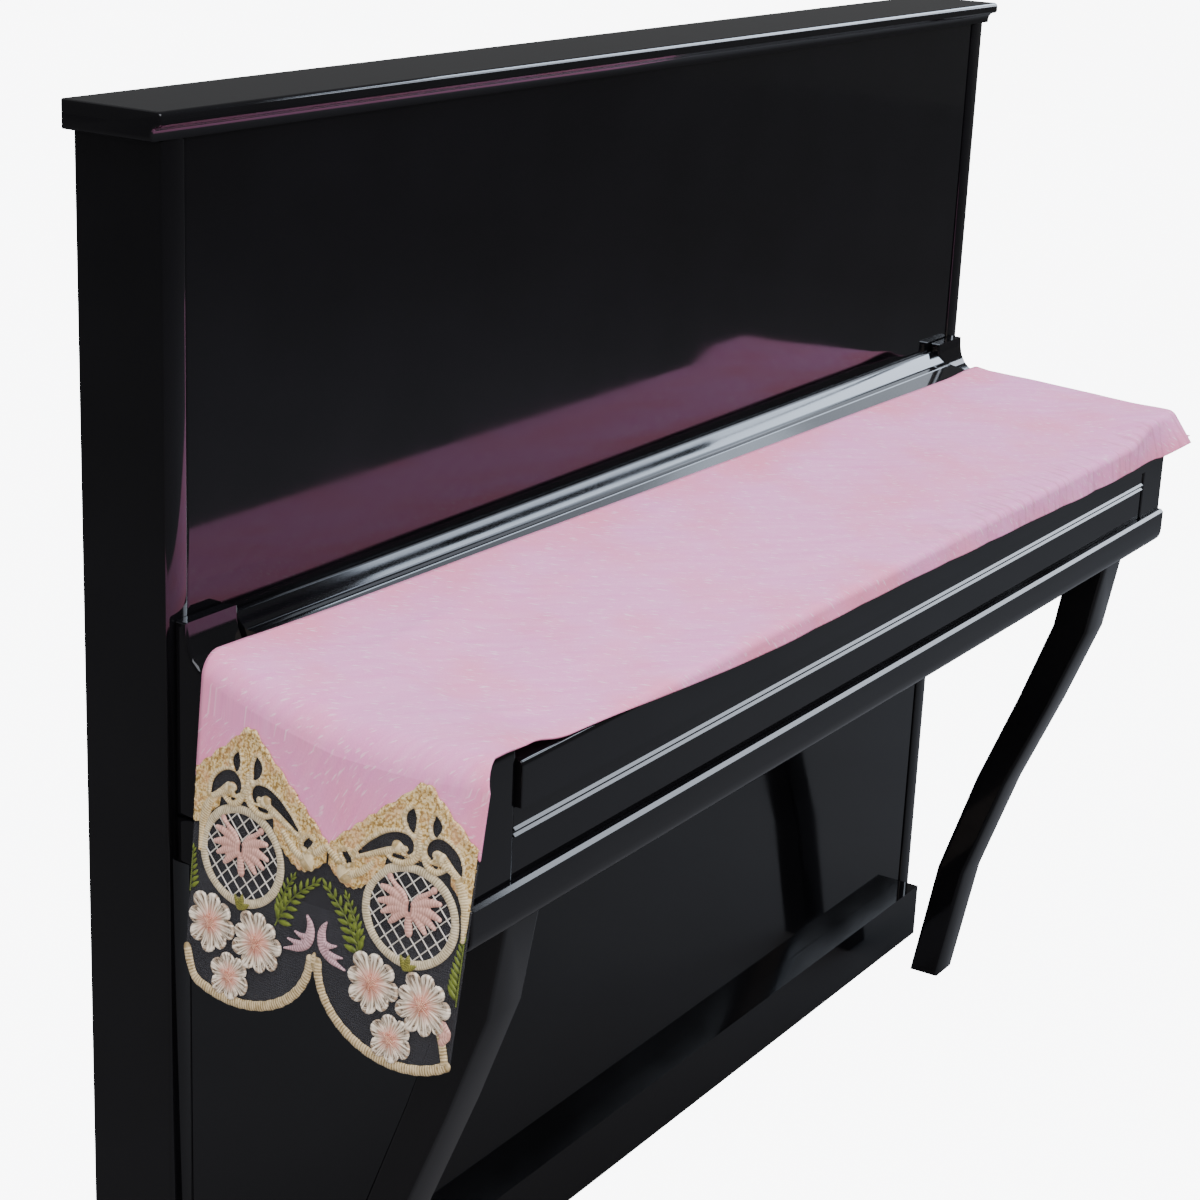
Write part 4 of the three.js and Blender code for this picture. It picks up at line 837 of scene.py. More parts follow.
def lensShape(name, stations, sides=5):  # closed shape from rows of x, half width, height; both ends pointed
    points, faces = [], []
    for x, wide, tall in stations[1:-1]:
        for k in range(sides):
            angle = math.pi * k / (sides - 1)
            points.append((x, wide * math.cos(angle), tall * math.sin(angle)))
    rings = len(stations) - 2
    tail, tip = len(points), len(points) + 1
    points += [(stations[0][0], 0, 0), (stations[-1][0], 0, 0)]
    for k in range(sides):
        n = (k + 1) % sides
        faces.append((tail, n, k))
        for r in range(rings - 1):
            faces.append((r * sides + k, r * sides + n, (r + 1) * sides + n, (r + 1) * sides + k))
        faces.append(((rings - 1) * sides + k, (rings - 1) * sides + n, tip))
    mesh = outwardMesh(name, points, faces)
    stitchUv(mesh, lambda x, y, z: (x + abs(y), y))
    return bpy.data.objects.new(name, mesh)  # never linked to the scene


leafletShape = lensShape("leafletShape", [
    (0, 0, 0), (0.2, 0.13, 0.08), (0.5, 0.18, 0.11), (0.8, 0.11, 0.07), (1, 0, 0)])
knotShape = lensShape("knotShape", [(-1.8, 0, 0), (-1.0, 0.4, 0.36), (1.0, 0.4, 0.4), (1.8, 0, 0)])


def threadMesh(name, end, paths, radius, material):  # paths: rows of v, s, off
    points, edges = [], []
    for path in paths:
        start = len(points)
        points.extend(lacePoint(end, *path.T).tolist())
        edges.extend((start + k, start + k + 1) for k in range(len(path) - 1))
    mesh = bpy.data.meshes.new(name)
    mesh.from_pydata((np.array(points) * mm).tolist(), edges, [])
    made = grown(name, mesh, threadTree, {"Radius": radius * mm, "Sides": 6, "Thread": material})
    stitchUv(made, lambda x, y, z: (y - z, x))
    shadeSmooth(made)
    return made


def leafMesh(name, end, leaves, off, material):  # leaves: rows of v, s, heading v, heading s, length
    rows = np.asarray(leaves, float)
    mesh = bpy.data.meshes.new(name)
    base = lacePoint(end, rows[:, 0], rows[:, 1], off)
    ahead = lacePoint(end, rows[:, 0] + rows[:, 2], rows[:, 1] + rows[:, 3], off + 0.1) - base  # tips rise
    outward = lacePoint(end, rows[:, 0], rows[:, 1], off + 1) - base
    mesh.from_pydata((base * mm).tolist(), [], [])
    for key, value in (("heading", ahead), ("facing", outward)):
        mesh.attributes.new(key, "FLOAT_VECTOR", "POINT").data.foreach_set("vector", value.ravel())
    mesh.attributes.new("leafSize", "FLOAT", "POINT").data.foreach_set("value", rows[:, 4])
    return grown(name, mesh, sprigTree, {"Leaf": leafletShape, "Thread": material})


def joined(name, meshes):
    build = bmesh.new()
    materials = []
    for mesh in meshes:
        start = len(build.faces)
        build.from_mesh(mesh)
        build.faces.ensure_lookup_table()
        for face in build.faces[start:]:
            face.material_index = len(materials)
        materials.append(next(m for m in mesh.materials if m))
    result = bpy.data.meshes.new(name)
    build.to_mesh(result)
    build.free()
    return result, materials


# heights off the cloth's inner face at which the layers of the lace start
layers = dict(ground=0.3, ring=1.8, trellis=2.3, sprig=1.8, band=2.1, scroll=2.6, motif=3.4, flower=3.4)
print("node trees built")


# Scroll cartouche, in sizes across from its axis (towards the middle is positive) and down the lace
scroll = dict(
    holes=[
        [(9, 48, 1.2), (10, 54, 4.6), (9, 60, 3.6), (6.5, 66, 0.5)],
        [(-12, 48.5, 1), (-13.5, 55, 4.2), (-13, 60, 2.8), (-13.5, 64, 0.5)],
        [(58, 96.5, 0.5), (46, 87.5, 3.2), (33, 79, 4.8), (21, 74, 5.2), (11, 73.5, 4.2), (7.8, 79.5, 2.4),
         (11.5, 84.5, 0.6)],
        [(-39.5, 88.5, 0.5), (-34.5, 80, 4.2), (-27, 72.5, 4.8), (-17.5, 69, 4.6), (-11, 72, 3.6),
         (-9.4, 78, 2.2), (-13.6, 82.5, 0.6)],
        [(71, 98.5, 0.5), (66, 101.5, 3.0), (61.5, 104.5, 0.5)],
        [(67.5, 96.5, 0.5), (65.5, 102, 2.2), (66, 107, 0.4)],
    ],
    cords=[
        [(20.5, 80, 5.0), (19.5, 80.5, 5.0)],
        [(47, 95, 1.6), (36, 89, 2.6), (28, 85.5, 2.8), (21, 82.5, 3.0)],
        [(30, 88, 1.5), (21, 91.6, 2.7), (10, 90.5, 2.9), (0.5, 82.5, 2.6), (1.0, 72, 2.2)],
        [(-19.5, 79.2, 4.8), (-20.5, 79.2, 4.8)],
        [(-36, 91, 1.5), (-28, 86, 2.5), (-20.5, 82, 2.8)],
        [(-4, 82, 2.3), (-9, 88.5, 2.7), (-17, 91, 2.7), (-27, 86, 1.5)],
        [(0, 62, 2.0), (0.5, 70, 2.6), (-2.5, 80, 2.2)],
        [(66.5, 116, 7.6), (67.5, 115, 7.6)],
        [(40, 98, 2.2), (48, 106, 3.0), (56, 112, 3.4), (66, 115, 3.4)],
        [(74, 107, 3.0), (80, 103, 3.4), (85, 99, 3.2)],
        [(-38, 93, 3.4), (-43, 102, 5.0), (-46.5, 112, 3.9), (-47.6, 124, 2.9), (-48.2, 138, 1.4)],
    ],
    rimWidth=3.8, rimRise=2.2, cordRise=2.7, edgeRise=0.3, fillRise=1.0, fillRound=2.5, grain=0.22,
    grainTurnV=1.9, grainTurnS=2.1,
    lump=13.5, lumpRise=2.6, lumpDrift=0.5, driftTurn=0.11, crownHalf=12, crownRise=3.2, topInset=1.4,
    picotWidth=5.6, picotRise=2.0, picot=8.5, picotLeast=0.7, outlineStep=1.5, archHalf=30, archS=86.0,
    ruffleFrom=42, ruffle=0.8, ruffleTurn=0.9, lowS=22, highS=141, sideRoom=4, pitch=1.0,
    knotDensity=120000.0, knotSmall=0.7, knotLarge=1.2, knotSeed=7, knotSink=0.1,
)


def polygonField(p, outline):  # signed distance to a closed outline, positive inside
    nearest = np.full(len(p), 1e9)
    crossings = np.zeros(len(p), bool)
    for a, b in zip(outline, np.roll(outline, -1, axis=0)):
        step = b - a
        t = np.clip(((p - a) @ step) / max(step @ step, 1e-9), 0, 1)
        off = p - a - t[:, None] * step
        nearest = np.minimum(nearest, np.hypot(off[:, 0], off[:, 1]))
        if a[1] != b[1]:
            meets = (a[1] > p[:, 1]) != (b[1] > p[:, 1])
            crossings ^= meets & (p[:, 0] < (b[0] - a[0]) * (p[:, 1] - a[1]) / (b[1] - a[1]) + a[0])
    return np.where(crossings, nearest, -nearest)


def scrollTopLine(b):  # lumpy upper edge with a crown on the axis
    drift = scroll["lumpDrift"] * np.sin(scroll["driftTurn"] * b)
    lumps = scroll["lumpRise"] * np.abs(np.sin(np.pi * b / scroll["lump"] + drift))
    crown = scroll["crownRise"] * np.exp(-(b / scroll["crownHalf"]) ** 4)
    return scrollContour(lace["axes"][0] + b) - lumps - crown + scroll["topInset"]


def scrollRelief(edge):  # edge: from the axis to the cover's side, where the scroll is cut off
    b = np.arange(-edge, lace["scrollReach"] + scroll["outlineStep"] / 3, scroll["outlineStep"])
    lower = np.where(np.abs(b) < scroll["archHalf"], scroll["archS"], scrollUnder(b))
    ruffle = scroll["ruffle"] * np.sin(b * scroll["ruffleTurn"])
    lower = np.where(np.abs(b) > scroll["ruffleFrom"], lower + ruffle, lower)
    outline = np.concatenate([np.stack([b, scrollTopLine(b)], -1), np.stack([b, lower], -1)[::-1]])
    holes = [bent(h) for h in scroll["holes"]]
    cords = [bent(c) for c in scroll["cords"]]
    least = scroll["edgeRise"]
    rimHalf = scroll["rimWidth"] / 2
    picotHalf = scroll["picotWidth"] / 2

    def shape(p):
        fill = polygonField(p, outline)
        hole, holeUv, _ = strokeField(p, holes)
        cord, cordUv, wide = strokeField(p, cords)
        rim = rimHalf - np.abs(-hole - rimHalf)
        bodyInside = np.minimum(fill, -hole)
        inside = np.minimum(np.maximum(bodyInside, cord), p[:, 0] + edge)
        grain = (scroll["grain"] * np.sin(p[:, 0] * scroll["grainTurnV"])
                 * np.sin(p[:, 1] * scroll["grainTurnS"] + p[:, 0]))
        rounded = np.sqrt(np.clip(bodyInside / scroll["fillRound"], 0, 1))
        body = least + (scroll["fillRise"] - least) * rounded + grain
        below = (p[:, 1] - scrollTopLine(p[:, 0])) * math.cos(math.atan(lace["scrollPitch"]))
        picot = picotHalf - np.abs(below - picotHalf)
        wave = np.abs(np.sin(np.pi * p[:, 0] / scroll["picot"]))
        beads = scroll["picotLeast"] + (1 - scroll["picotLeast"]) * wave
        picotHeight = np.where(picot > 0, pillow(picot, picotHalf, least, scroll["picotRise"] * beads), 0)
        body = np.maximum(body, picotHeight)
        rimHeight = np.where((rim > 0) & (fill > 0), pillow(rim, rimHalf, least, scroll["rimRise"]), 0)
        cordHeight = np.where(cord > 0, pillow(cord, wide, least, scroll["cordRise"]), 0)
        height = np.maximum(np.maximum(body, rimHeight), cordHeight)
        height = np.where(inside > 0.05, np.maximum(height, least), least)
        satin = np.maximum(rimHeight, cordHeight) >= body
        uv = np.where((cordHeight >= rimHeight)[:, None], cordUv, holeUv)
        return inside, height, uv, satin.astype(float)

    high = (lace["scrollReach"] + scroll["sideRoom"], scroll["highS"])
    return relief(shape, (-edge - 1, scroll["lowS"]), high, scroll["pitch"])


def turnedAbout(flat, axis, inward):  # from the scroll's own sizes to places on the lace
    points = flat["points"] * np.array([inward, 1, 1]) + np.array([axis, 0, 0])
    faces = flat["faces"] if inward > 0 else flat["faces"][:, ::-1]
    return dict(flat, points=points, faces=faces)


scrollFlats = [scrollRelief(lace["axes"][0] - lace["margin"]),
               scrollRelief(cover["width"] - lace["axes"][1] - lace["margin"])]


# Oval frame and its trellis
ovalRim = dict(steps=73, uneven=0.06, lobes=5, full=1.9, pitch=1.2)
trellis = dict(
    pitch=9.8, radius=0.62, step=5.0, lines=6, halfRun=60, samples=121, fewest=6, underRim=0.8, weave=0.25)


def ovalStroke():
    angle = np.linspace(0, 2 * np.pi, ovalRim["steps"])
    inset = lace["ringWidth"] / 2
    v = (lace["ringHalfV"] - inset) * np.cos(angle)
    s = lace["ringS"] + (lace["ringHalfS"] - inset) * np.sin(angle)
    return np.stack([v, s, inset * (1 + ovalRim["uneven"] * np.sin(ovalRim["lobes"] * angle))], -1)


def trellisPaths(middle):
    halfV = lace["ringHalfV"] - lace["ringWidth"] + trellis["underRim"]
    halfS = lace["ringHalfS"] - lace["ringWidth"] + trellis["underRim"]
    t = np.linspace(-trellis["halfRun"], trellis["halfRun"], trellis["samples"])
    paths = []
    for lean in (1, -1):
        for k in range(-trellis["lines"], trellis["lines"] + 1):
            v = (k * trellis["pitch"] + t) * math.sqrt(0.5)
            s = lean * (t - k * trellis["pitch"]) * math.sqrt(0.5)
            inside = np.nonzero((v / halfV) ** 2 + (s / halfS) ** 2 < 1)[0]
            if len(inside) < trellis["fewest"]:
                continue
            steps = max(int(len(inside) / trellis["step"]), 2)
            pick = np.linspace(inside[0], inside[-1], steps + 1)
            pickV = middle + np.interp(pick, range(trellis["samples"]), v)
            pickS = lace["ringS"] + np.interp(pick, range(trellis["samples"]), s)
            weave = layers["trellis"] + trellis["weave"] * lean
            paths.append(np.stack([pickV, pickS, np.full(steps + 1, weave)], -1))
    return paths


ringFlat = strokeRelief([ovalStroke()], ovalRim["full"], ovalRim["pitch"])


def mirrorStrokes(strokes, origin, side):
    out = []
    for stroke in strokes:
        path = bent(stroke)
        path[:, 0] = origin + side * path[:, 0]
        out.append(path)
    return out


# Butterfly-shaped leaf motif: feathered lobes either side of a slit, sizes from the oval's middle
butterfly = dict(
    rise=8, full=2.0, pitch=0.8,
    feathers=[
        [(2.6, -3, 1.6), (7, -9, 2.2), (14, -13.5, 2.0), (18.5, -17, 2.0), (20.5, -18.8, 2.9)],
        [(3.4, -2, 2.2), (12, -6, 3.4), (20, -8.5, 3.3), (27, -9.5, 2.0)],
        [(3.6, 1, 2.4), (13, -0.5, 3.4), (21, 0.5, 3.3), (28.5, 2.5, 2.0)],
        [(3.6, 3, 2.4), (11, 4.5, 3.2), (18, 7, 3.1), (24.5, 10.5, 1.9)],
        [(3.2, 5, 2.4), (8.5, 9, 3.0), (13, 13, 3.0), (16.5, 16.5, 2.0)],
    ],
    tongue=[(0.5, 7, 2.6), (0.5, 13, 3.6), (1.6, 19.5, 3.6), (2, 21.5, 2.8)],
)
butterflyStrokes = [s for side in (1, -1) for s in mirrorStrokes(butterfly["feathers"], 0, side)]
butterflyStrokes.append(bent(butterfly["tongue"]))
for stroke in butterflyStrokes:
    stroke[:, 1] += lace["ringS"] - butterfly["rise"]
butterflyFlat = strokeRelief(butterflyStrokes, butterfly["full"], butterfly["pitch"])

# Leaves either side of the point between the scallops
cuspLeaf = dict(
    full=1.9, pitch=0.8,
    strokes=[  # sizes out from the cusp and down the lace
        [(10, 160, 0.8), (6.5, 167, 3.2), (6, 175, 4.6), (9.5, 183, 4.8), (18, 189.5, 3.2), (32, 193.5, 0.7)],
        [(10, 184, 3.2), (19, 185.5, 2.4), (28.5, 184.5, 0.7)],
        [(8, 178, 3.2), (15, 178.5, 2.2), (21.5, 176.5, 0.7)],
    ],
)
cuspFlats = []
for side in (-1, 1):
    cuspStrokes = mirrorStrokes(cuspLeaf["strokes"], lace["cuspV"], side)
    cuspFlats.append(strokeRelief(cuspStrokes, cuspLeaf["full"], cuspLeaf["pitch"]))

# Green leaves between the flowers
budLeaf = dict(
    full=1.5, pitch=0.7,
    strokes=[  # sizes across from the repeat's middle
        [(4, 175, 1.2), (2.5, 170, 2.8), (-0.5, 164.5, 0.7)],
        [(4.5, 175, 1.2), (6.5, 169, 3.0), (7.5, 162.5, 0.7)],
        [(5, 175, 1.2), (10, 172, 2.6), (15, 169, 0.7)],
    ],
)
budFlat = strokeRelief([bent(s) for s in budLeaf["strokes"]], budLeaf["full"], budLeaf["pitch"])

# Petals of a flower that the front edge cuts
edgePetals = dict(
    full=1.6, pitch=0.7,
    strokes=[[(279.4, 212, 2.2), (273.5, 207.5, 3.6)], [(279.4, 214, 2.4), (272.5, 214.5, 3.6)],
             [(279.4, 216, 2.2), (274, 221, 3.4)]],
)
edgeFlat = strokeRelief([np.array(s) for s in edgePetals["strokes"]], edgePetals["full"], edgePetals["pitch"])

# Scallop band: satin stitch along the lower edge
band = dict(
    inset=4, rise=4.5, side=3.2, halfWidth=4.1, uneven=0.07, unevenTurn=2.1, full=1.9, steps=46, pitch=1.15,
    cusp=[(189.5, 1.6), (193, 3.2), (197.5, 4.6)],  # s and half width of the point between the scallops
    corner=[(269, 214, 2.8), (274, 224, 3.6), (278.4, 237, 3.6)],
)
bandStrokes = []
bandEnds = (band["side"], lace["cuspV"], cover["width"] - band["side"])
for middle, v0, v1 in zip(lace["middles"], bandEnds[:-1], bandEnds[1:]):
    line = scallopLine(middle, band["inset"], band["rise"], v0, v1, band["steps"])
    uneven = 1 + band["uneven"] * np.sin(np.arange(len(line)) * band["unevenTurn"])
    bandStrokes.append(np.column_stack([line, band["halfWidth"] * uneven]))
bandStrokes.append(np.array([(lace["cuspV"], s, wide) for s, wide in band["cusp"]]))
bandStrokes.append(bent(band["corner"]))
bandFlat = strokeRelief(bandStrokes, band["full"], band["pitch"])
print("reliefs shaped")


# Flower clusters: sheer petals with a raised eye and loose stamen threads
flowers = dict(
    table=[  # across from the repeat's middle, s, radius, petals, turn in degrees, lift
        (-25, 194.5, 26.5, 8, 5, 0.7), (25.5, 197.5, 27, 9, 36, 0.35), (-2, 234, 21.5, 6, 18, 0.0),
    ],
    rings=16, perPetal=22, lobe=0.27, lobeFrom=0.25, bluntness=0.45, uneven=0.06, unevenTurn=2.4,
    frill=0.02, frills=7,
    base=0.7, eyeRise=1.5, eyeWide=0.24, middleRise=2.3, cup=1.2, groove=0.9, grooveWide=0.07,
    grooveFrom=0.15, grooveTo=0.6, rib=0.18, ribs=5, ribFrom=0.3, ribTo=0.9,
    hemRise=0.45, hemAt=0.93, hemWide=0.06, rimDrop=0.7, rimFrom=0.96,
    stamens=16, stamenReach=0.34, stamenRadius=0.5, stamenStart=2.4, stamenFall=0.9, stamenArch=0.8,
    stamenFrom=0.08, stamenPoints=4,
)


def flowerMesh(middle, row):
    look = flowers
    across, s, radius, petals, turn, lift = row
    count = petals * look["perPetal"]
    angle = 2 * np.pi * np.arange(count) / count + math.radians(turn)
    petal = petals * (angle - math.radians(turn)) / (2 * np.pi)
    inPetal = petal - np.round(petal)  # -0.5 to 0.5 across one petal
    number = np.round(petal) % petals
    own = 1 - look["uneven"] * (1 + np.sin(look["unevenTurn"] * number + turn))  # each petal's own length
    lobe = own * (1 - look["lobe"] * (1 - np.abs(np.cos(np.pi * inPetal)) ** look["bluntness"]))
    rimLobe = lobe + look["frill"] * np.abs(np.cos(np.pi * inPetal * look["frills"]))
    share = np.linspace(0, 1, look["rings"] + 1)[1:, None]
    reach = radius * share * mixed(1, rimLobe, smooth(share, look["lobeFrom"], 1.0))
    groove = np.exp(-((np.abs(inPetal) - 0.5) / look["grooveWide"]) ** 2)
    groove = groove * smooth(share, look["grooveFrom"], look["grooveTo"])
    rib = look["rib"] * np.cos(2 * np.pi * inPetal * look["ribs"])
    rib = rib * smooth(share, look["ribFrom"], look["ribTo"])
    eyeDome = look["eyeRise"] * np.exp(-(share / look["eyeWide"]) ** 2)
    cup = look["cup"] * share ** 2 * np.cos(np.pi * inPetal) ** 2
    hem = look["hemRise"] * np.exp(-((share - look["hemAt"]) / look["hemWide"]) ** 2)
    drop = look["rimDrop"] * smooth(share, look["rimFrom"], 1.0)
    height = look["base"] + eyeDome + cup - look["groove"] * groove + rib + hem - drop + lift
    v, down = middle + across + reach * np.cos(angle), s + reach * np.sin(angle)
    top = np.stack([v, down, height], -1)
    rim = np.stack([v[-1], down[-1], np.zeros(count)], -1)
    centres = [[middle + across, s, look["middleRise"] + lift], [middle + across, s, 0]]
    points = np.concatenate([top.reshape(-1, 3), rim, centres])
    k = np.arange(count)
    n = (k + 1) % count
    rows = [np.stack([i * count + k, (i + 1) * count + k, (i + 1) * count + n, i * count + n], -1)
            for i in range(look["rings"])]
    eye, under = len(points) - 2, len(points) - 1
    last = look["rings"] * count
    faces = np.concatenate(rows).tolist()
    faces += [[eye, a, b] for a, b in zip(k, n)]
    faces += [[under, last + b, last + a] for a, b in zip(k, n)]
    around = k / count
    uv = np.stack(np.broadcast_arrays(around, share), -1).reshape(-1, 2)
    uv = np.concatenate([uv, np.stack([around, np.ones(count)], -1), [[0.5, 0.0], [0.5, 0.0]]])
    return points, faces, uv


def stamenPaths(middle, row):
    look = flowers
    across, s, radius, *_, lift = row
    arc = np.linspace(look["stamenFrom"], 1, look["stamenPoints"])
    rise = layers["flower"] + lift + look["stamenStart"] - look["stamenFall"] * arc
    rise = rise + look["stamenArch"] * np.sin(np.pi * arc)
    paths = []
    for k in range(look["stamens"]):
        angle = 2 * math.pi * (k + 0.3 * math.sin(5 * k)) / look["stamens"]  # unevenly spread and long
        far = radius * look["stamenReach"] * (0.8 + 0.25 * math.sin(3.7 * k))
        v, down = middle + across + far * arc * math.cos(angle), s + far * arc * math.sin(angle)
        paths.append(np.stack([v, down, rise], -1))
    return paths


def buildFlowers(end, place, middle):
    name = f"flower_cluster_{place}_{end['name']}"
    points, faces, uv, stamens = [], [], [], []
    for row in flowers["table"]:
        p, f, u = flowerMesh(middle, row)
        start = sum(len(q) for q in points)
        points.append(p)
        uv.append(u)
        faces += [[start + i for i in (face if end["side"] > 0 else face[::-1])] for face in f]
        stamens += stamenPaths(middle, row)
    p = np.concatenate(points)
    placed = lacePoint(end, p[:, 0], p[:, 1], p[:, 2] + layers["flower"])
    mesh = meshFrom(name, placed, faces, np.concatenate(uv))
    mesh.materials.append(petalSilk)
    threads = threadMesh(name + "_threads", end, stamens, flowers["stamenRadius"], stamenThread)
    both, materials = joined(name, [mesh, threads])
    return pieceFrom(name, both, materials, [f"flowers_{place}_{end['name']}"])


# Fern sprigs: leaflets in pairs along a stem
ferns = dict(
    table={  # fronds as base v, base s, tip v, tip s, bow, pairs of leaflets, leaflet length, sides
        "inner_back": [(97, 178, 136, 132, -5, 8, 15.5, (1, -1)), (99, 173, 113, 134, -3, 7, 11.5, (1, -1))],
        "inner_front": [(186, 180, 148, 132, 5, 8, 16.5, (1, -1)), (184, 173, 168, 134, 3, 7, 12, (1, -1))],
        "edge_back": [(2.4, 176, 3.0, 142, 0, 7, 12, (1,))],
        "edge_front": [(281.6, 190, 281, 140, 0, 9, 16, (-1,))],
    },
    stem=0.7, taper=0.5, spread=46, closing=14, uneven=5, first=0.08, span=0.86, tipLeaf=0.55, lift=0.4,
    unevenTurn=7, stemPoints=9,
)


def buildFern(end, key):
    leaves, stems = [], []
    off = layers["sprig"] + ferns["lift"]
    for bv, bs, tv, ts, bow, pairs, length, sides in ferns["table"][key]:
        base, along = np.array([bv, bs]), np.array([tv - bv, ts - bs])
        out = np.array([-along[1], along[0]]) / np.hypot(*along)
        t = np.linspace(0, 1, ferns["stemPoints"])[:, None]
        line = base + along * t + out * bow * np.sin(np.pi * t)
        stems.append(np.column_stack([line, np.full(len(line), off)]))
        lean = along / np.hypot(*along)
        for k in range(pairs):
            share = ferns["first"] + ferns["span"] * k / (pairs - 1)
            spot = base + along * share + out * bow * math.sin(math.pi * share)
            size = length * (1 - ferns["taper"] * share)
            for side in sides:
                wander = ferns["uneven"] * math.sin(ferns["unevenTurn"] * k + side)
                spread = math.radians(ferns["spread"] - ferns["closing"] * share + wander)
                ahead = lean * math.cos(spread) + out * side * math.sin(spread)
                leaves.append((*spot, *ahead, size))
        leaves.append((*(base + along), *lean, length * ferns["tipLeaf"]))
    name = f"fern_sprig_{key}_{end['name']}"
    meshes = [leafMesh(name + "_leaves", end, leaves, off, greenSatin),
              threadMesh(name + "_stem", end, stems, ferns["stem"], greenSatin)]
    both, materials = joined(name, meshes)
    return pieceFrom(name, both, materials, [f"fern_{key}_{end['name']}"])


# Net ground, cut to the scallops
net = dict(steps=90, rows=40, rise=1.5, side=0.75, thickness=1.0)


def buildGround(end):
    low = scallopLine(lace["middles"][0], 0, net["rise"], net["side"], lace["cuspV"], net["steps"])
    high = scallopLine(
        lace["middles"][1], 0, net["rise"], lace["cuspV"], cover["width"] - net["side"], net["steps"])
    edge = np.concatenate([low, high[1:]])
    v = edge[:, 0]
    t = np.linspace(0, 1, net["rows"])[:, None]
    s = mixed(scrollContour(v) + lace["scrollTuck"] + lace["groundGap"], edge[:, 1], t)
    v = v + 0 * s
    inner = lacePoint(end, v, s, layers["ground"])
    outer = lacePoint(end, v, s, layers["ground"] + net["thickness"])
    points, faces = shellGrid(inner, outer)
    if end["side"] > 0:
        faces = faces[:, ::-1]
    uv = np.stack([v, s], -1).reshape(-1, 2) * mm
    mesh = meshFrom("lace_net_" + end["name"], points, faces, np.concatenate([uv, uv]))
    return pieceFrom("lace_net_" + end["name"], mesh, [tulle], ["lace_ground_" + end["name"]])


def knotsOn(name, end, flat):  # stitches strewn on the unstitched tops of a scroll
    fill = flat["faces"][:flat["tops"]][~flat["kind"][:flat["tops"]]]
    p = flat["points"]
    faces = fill if end["side"] > 0 else fill[:, ::-1]
    placed = lacePoint(end, p[:, 0], p[:, 1], p[:, 2] + layers["scroll"] - scroll["knotSink"])
    return grown(name, meshFrom(name + "_carrier", placed, faces), knotTree, {
        "Knot": knotShape, "Density": scroll["knotDensity"], "Small": scroll["knotSmall"],
        "Large": scroll["knotLarge"], "Seed": scroll["knotSeed"], "Thread": goldThread})


def buildLace(end):
    side = end["name"]
    ground = buildGround(end)
    trims = [laid("scallop_edge_" + side, end, bandFlat, layers["band"], [bandSatin],
                  ["scallop_band_" + side])]
    for i, place in enumerate(("back", "front")):
        tag = f"{place}_{side}"
        middle = lace["middles"][i]
        oval = middle + lace["ringShift"]
        scrollFlat = turnedAbout(scrollFlats[i], lace["axes"][i], (1, -1)[i])
        trims.append(laid("scroll_lace_" + tag, end, scrollFlat, layers["scroll"], [goldThread, creamSatin],
                          ["scroll_" + tag]))
        knots = knotsOn("scroll_knots_" + tag, end, scrollFlat)
        trims.append(pieceFrom("scroll_knots_" + tag, knots, [], []))
        trims.append(laid("oval_rim_" + tag, end, shifted(ringFlat, oval), layers["ring"], [paleSatin],
                          ["oval_frame_" + tag]))
        threads = threadMesh("trellis_" + tag, end, trellisPaths(oval), trellis["radius"], netThread)
        trims.append(pieceFrom("trellis_" + tag, threads, [], []))
        trims.append(laid("butterfly_leaf_" + tag, end, shifted(butterflyFlat, oval), layers["motif"],
                          [pinkSatin], ["butterfly_" + tag]))
        trims.append(laid("cusp_leaves_" + tag, end, cuspFlats[i], layers["sprig"], [lilacSatin],
                          ["cusp_leaf_" + tag]))
        trims.append(laid("bud_leaves_" + tag, end, shifted(budFlat, middle), layers["motif"], [budSatin],
                          ["bud_leaf_" + tag]))
        trims.append(buildFlowers(end, place, middle))
    for key in ferns["table"]:
        trims.append(buildFern(end, key))
    trims.append(laid("edge_petals_" + side, end, edgeFlat, layers["motif"], [pinkSatin], []))
    print("lace on the", side, "end:", sum(len(t.data.polygons) for t in trims), "faces")


buildLace(leftEnd)
buildLace(rightEnd)


# Piano boards: copies of the solids, welded and smooth shaded
pianoBoards = dict(
    names=["top_lid", "upper_panel", "lower_panel", "back_panel", "plinth", "key_bed", "key_slip", "key_lid",
           "side_board_left", "side_board_right", "arm_left", "arm_right", "leg_left", "leg_right"],
    weld=0.01, flat=0.4, sharp=32, minor=0.1,
)


def polished(name):
    build = bmesh.new()
    build.from_mesh(nodes[name].data)
    bmesh.ops.remove_doubles(build, verts=build.verts, dist=pianoBoards["weld"] * mm)
    bmesh.ops.dissolve_limit(
        build, angle_limit=math.radians(pianoBoards["flat"]), verts=build.verts, edges=build.edges)
    build.normal_update()
    build.faces.ensure_lookup_table()
    areas = [face.calc_area() for face in build.faces]
    sharp = math.radians(pianoBoards["sharp"])
    normals = []
    for face in build.faces:
        for vert in face.verts:  # large faces stay flat up to their rounded edges
            near = [f for f in vert.link_faces if f.normal.angle(face.normal, 0) < sharp]
            least = pianoBoards["minor"] * max(areas[f.index] for f in near)
            main = [f.normal for f in near if areas[f.index] >= least]
            normals.append(sum(main, Vector()).normalized())
    mesh = bpy.data.meshes.new("lacquered_" + name)
    build.to_mesh(mesh)
    build.free()
    shadeSmooth(mesh)
    mesh.normals_split_custom_set(normals)
    return pieceFrom("lacquered_" + name, mesh, [lacquer], [name])


for name in pianoBoards["names"]:
    polished(name)

# Strip behind the lid: a flat top, a slanted face that takes the light, and a foot
lidStrip = dict(
    reach=672.6, stations=40,
    profile=[(-0.4, 783), (-0.4, 811.4), (-1.6, 812.4), (-6.6, 812.6), (-8.2, 812.0),
             (-21.4, 802.2), (-23.4, 801.2), (-32.6, 800.8), (-33.6, 800.0), (-33.6, 783)],
)


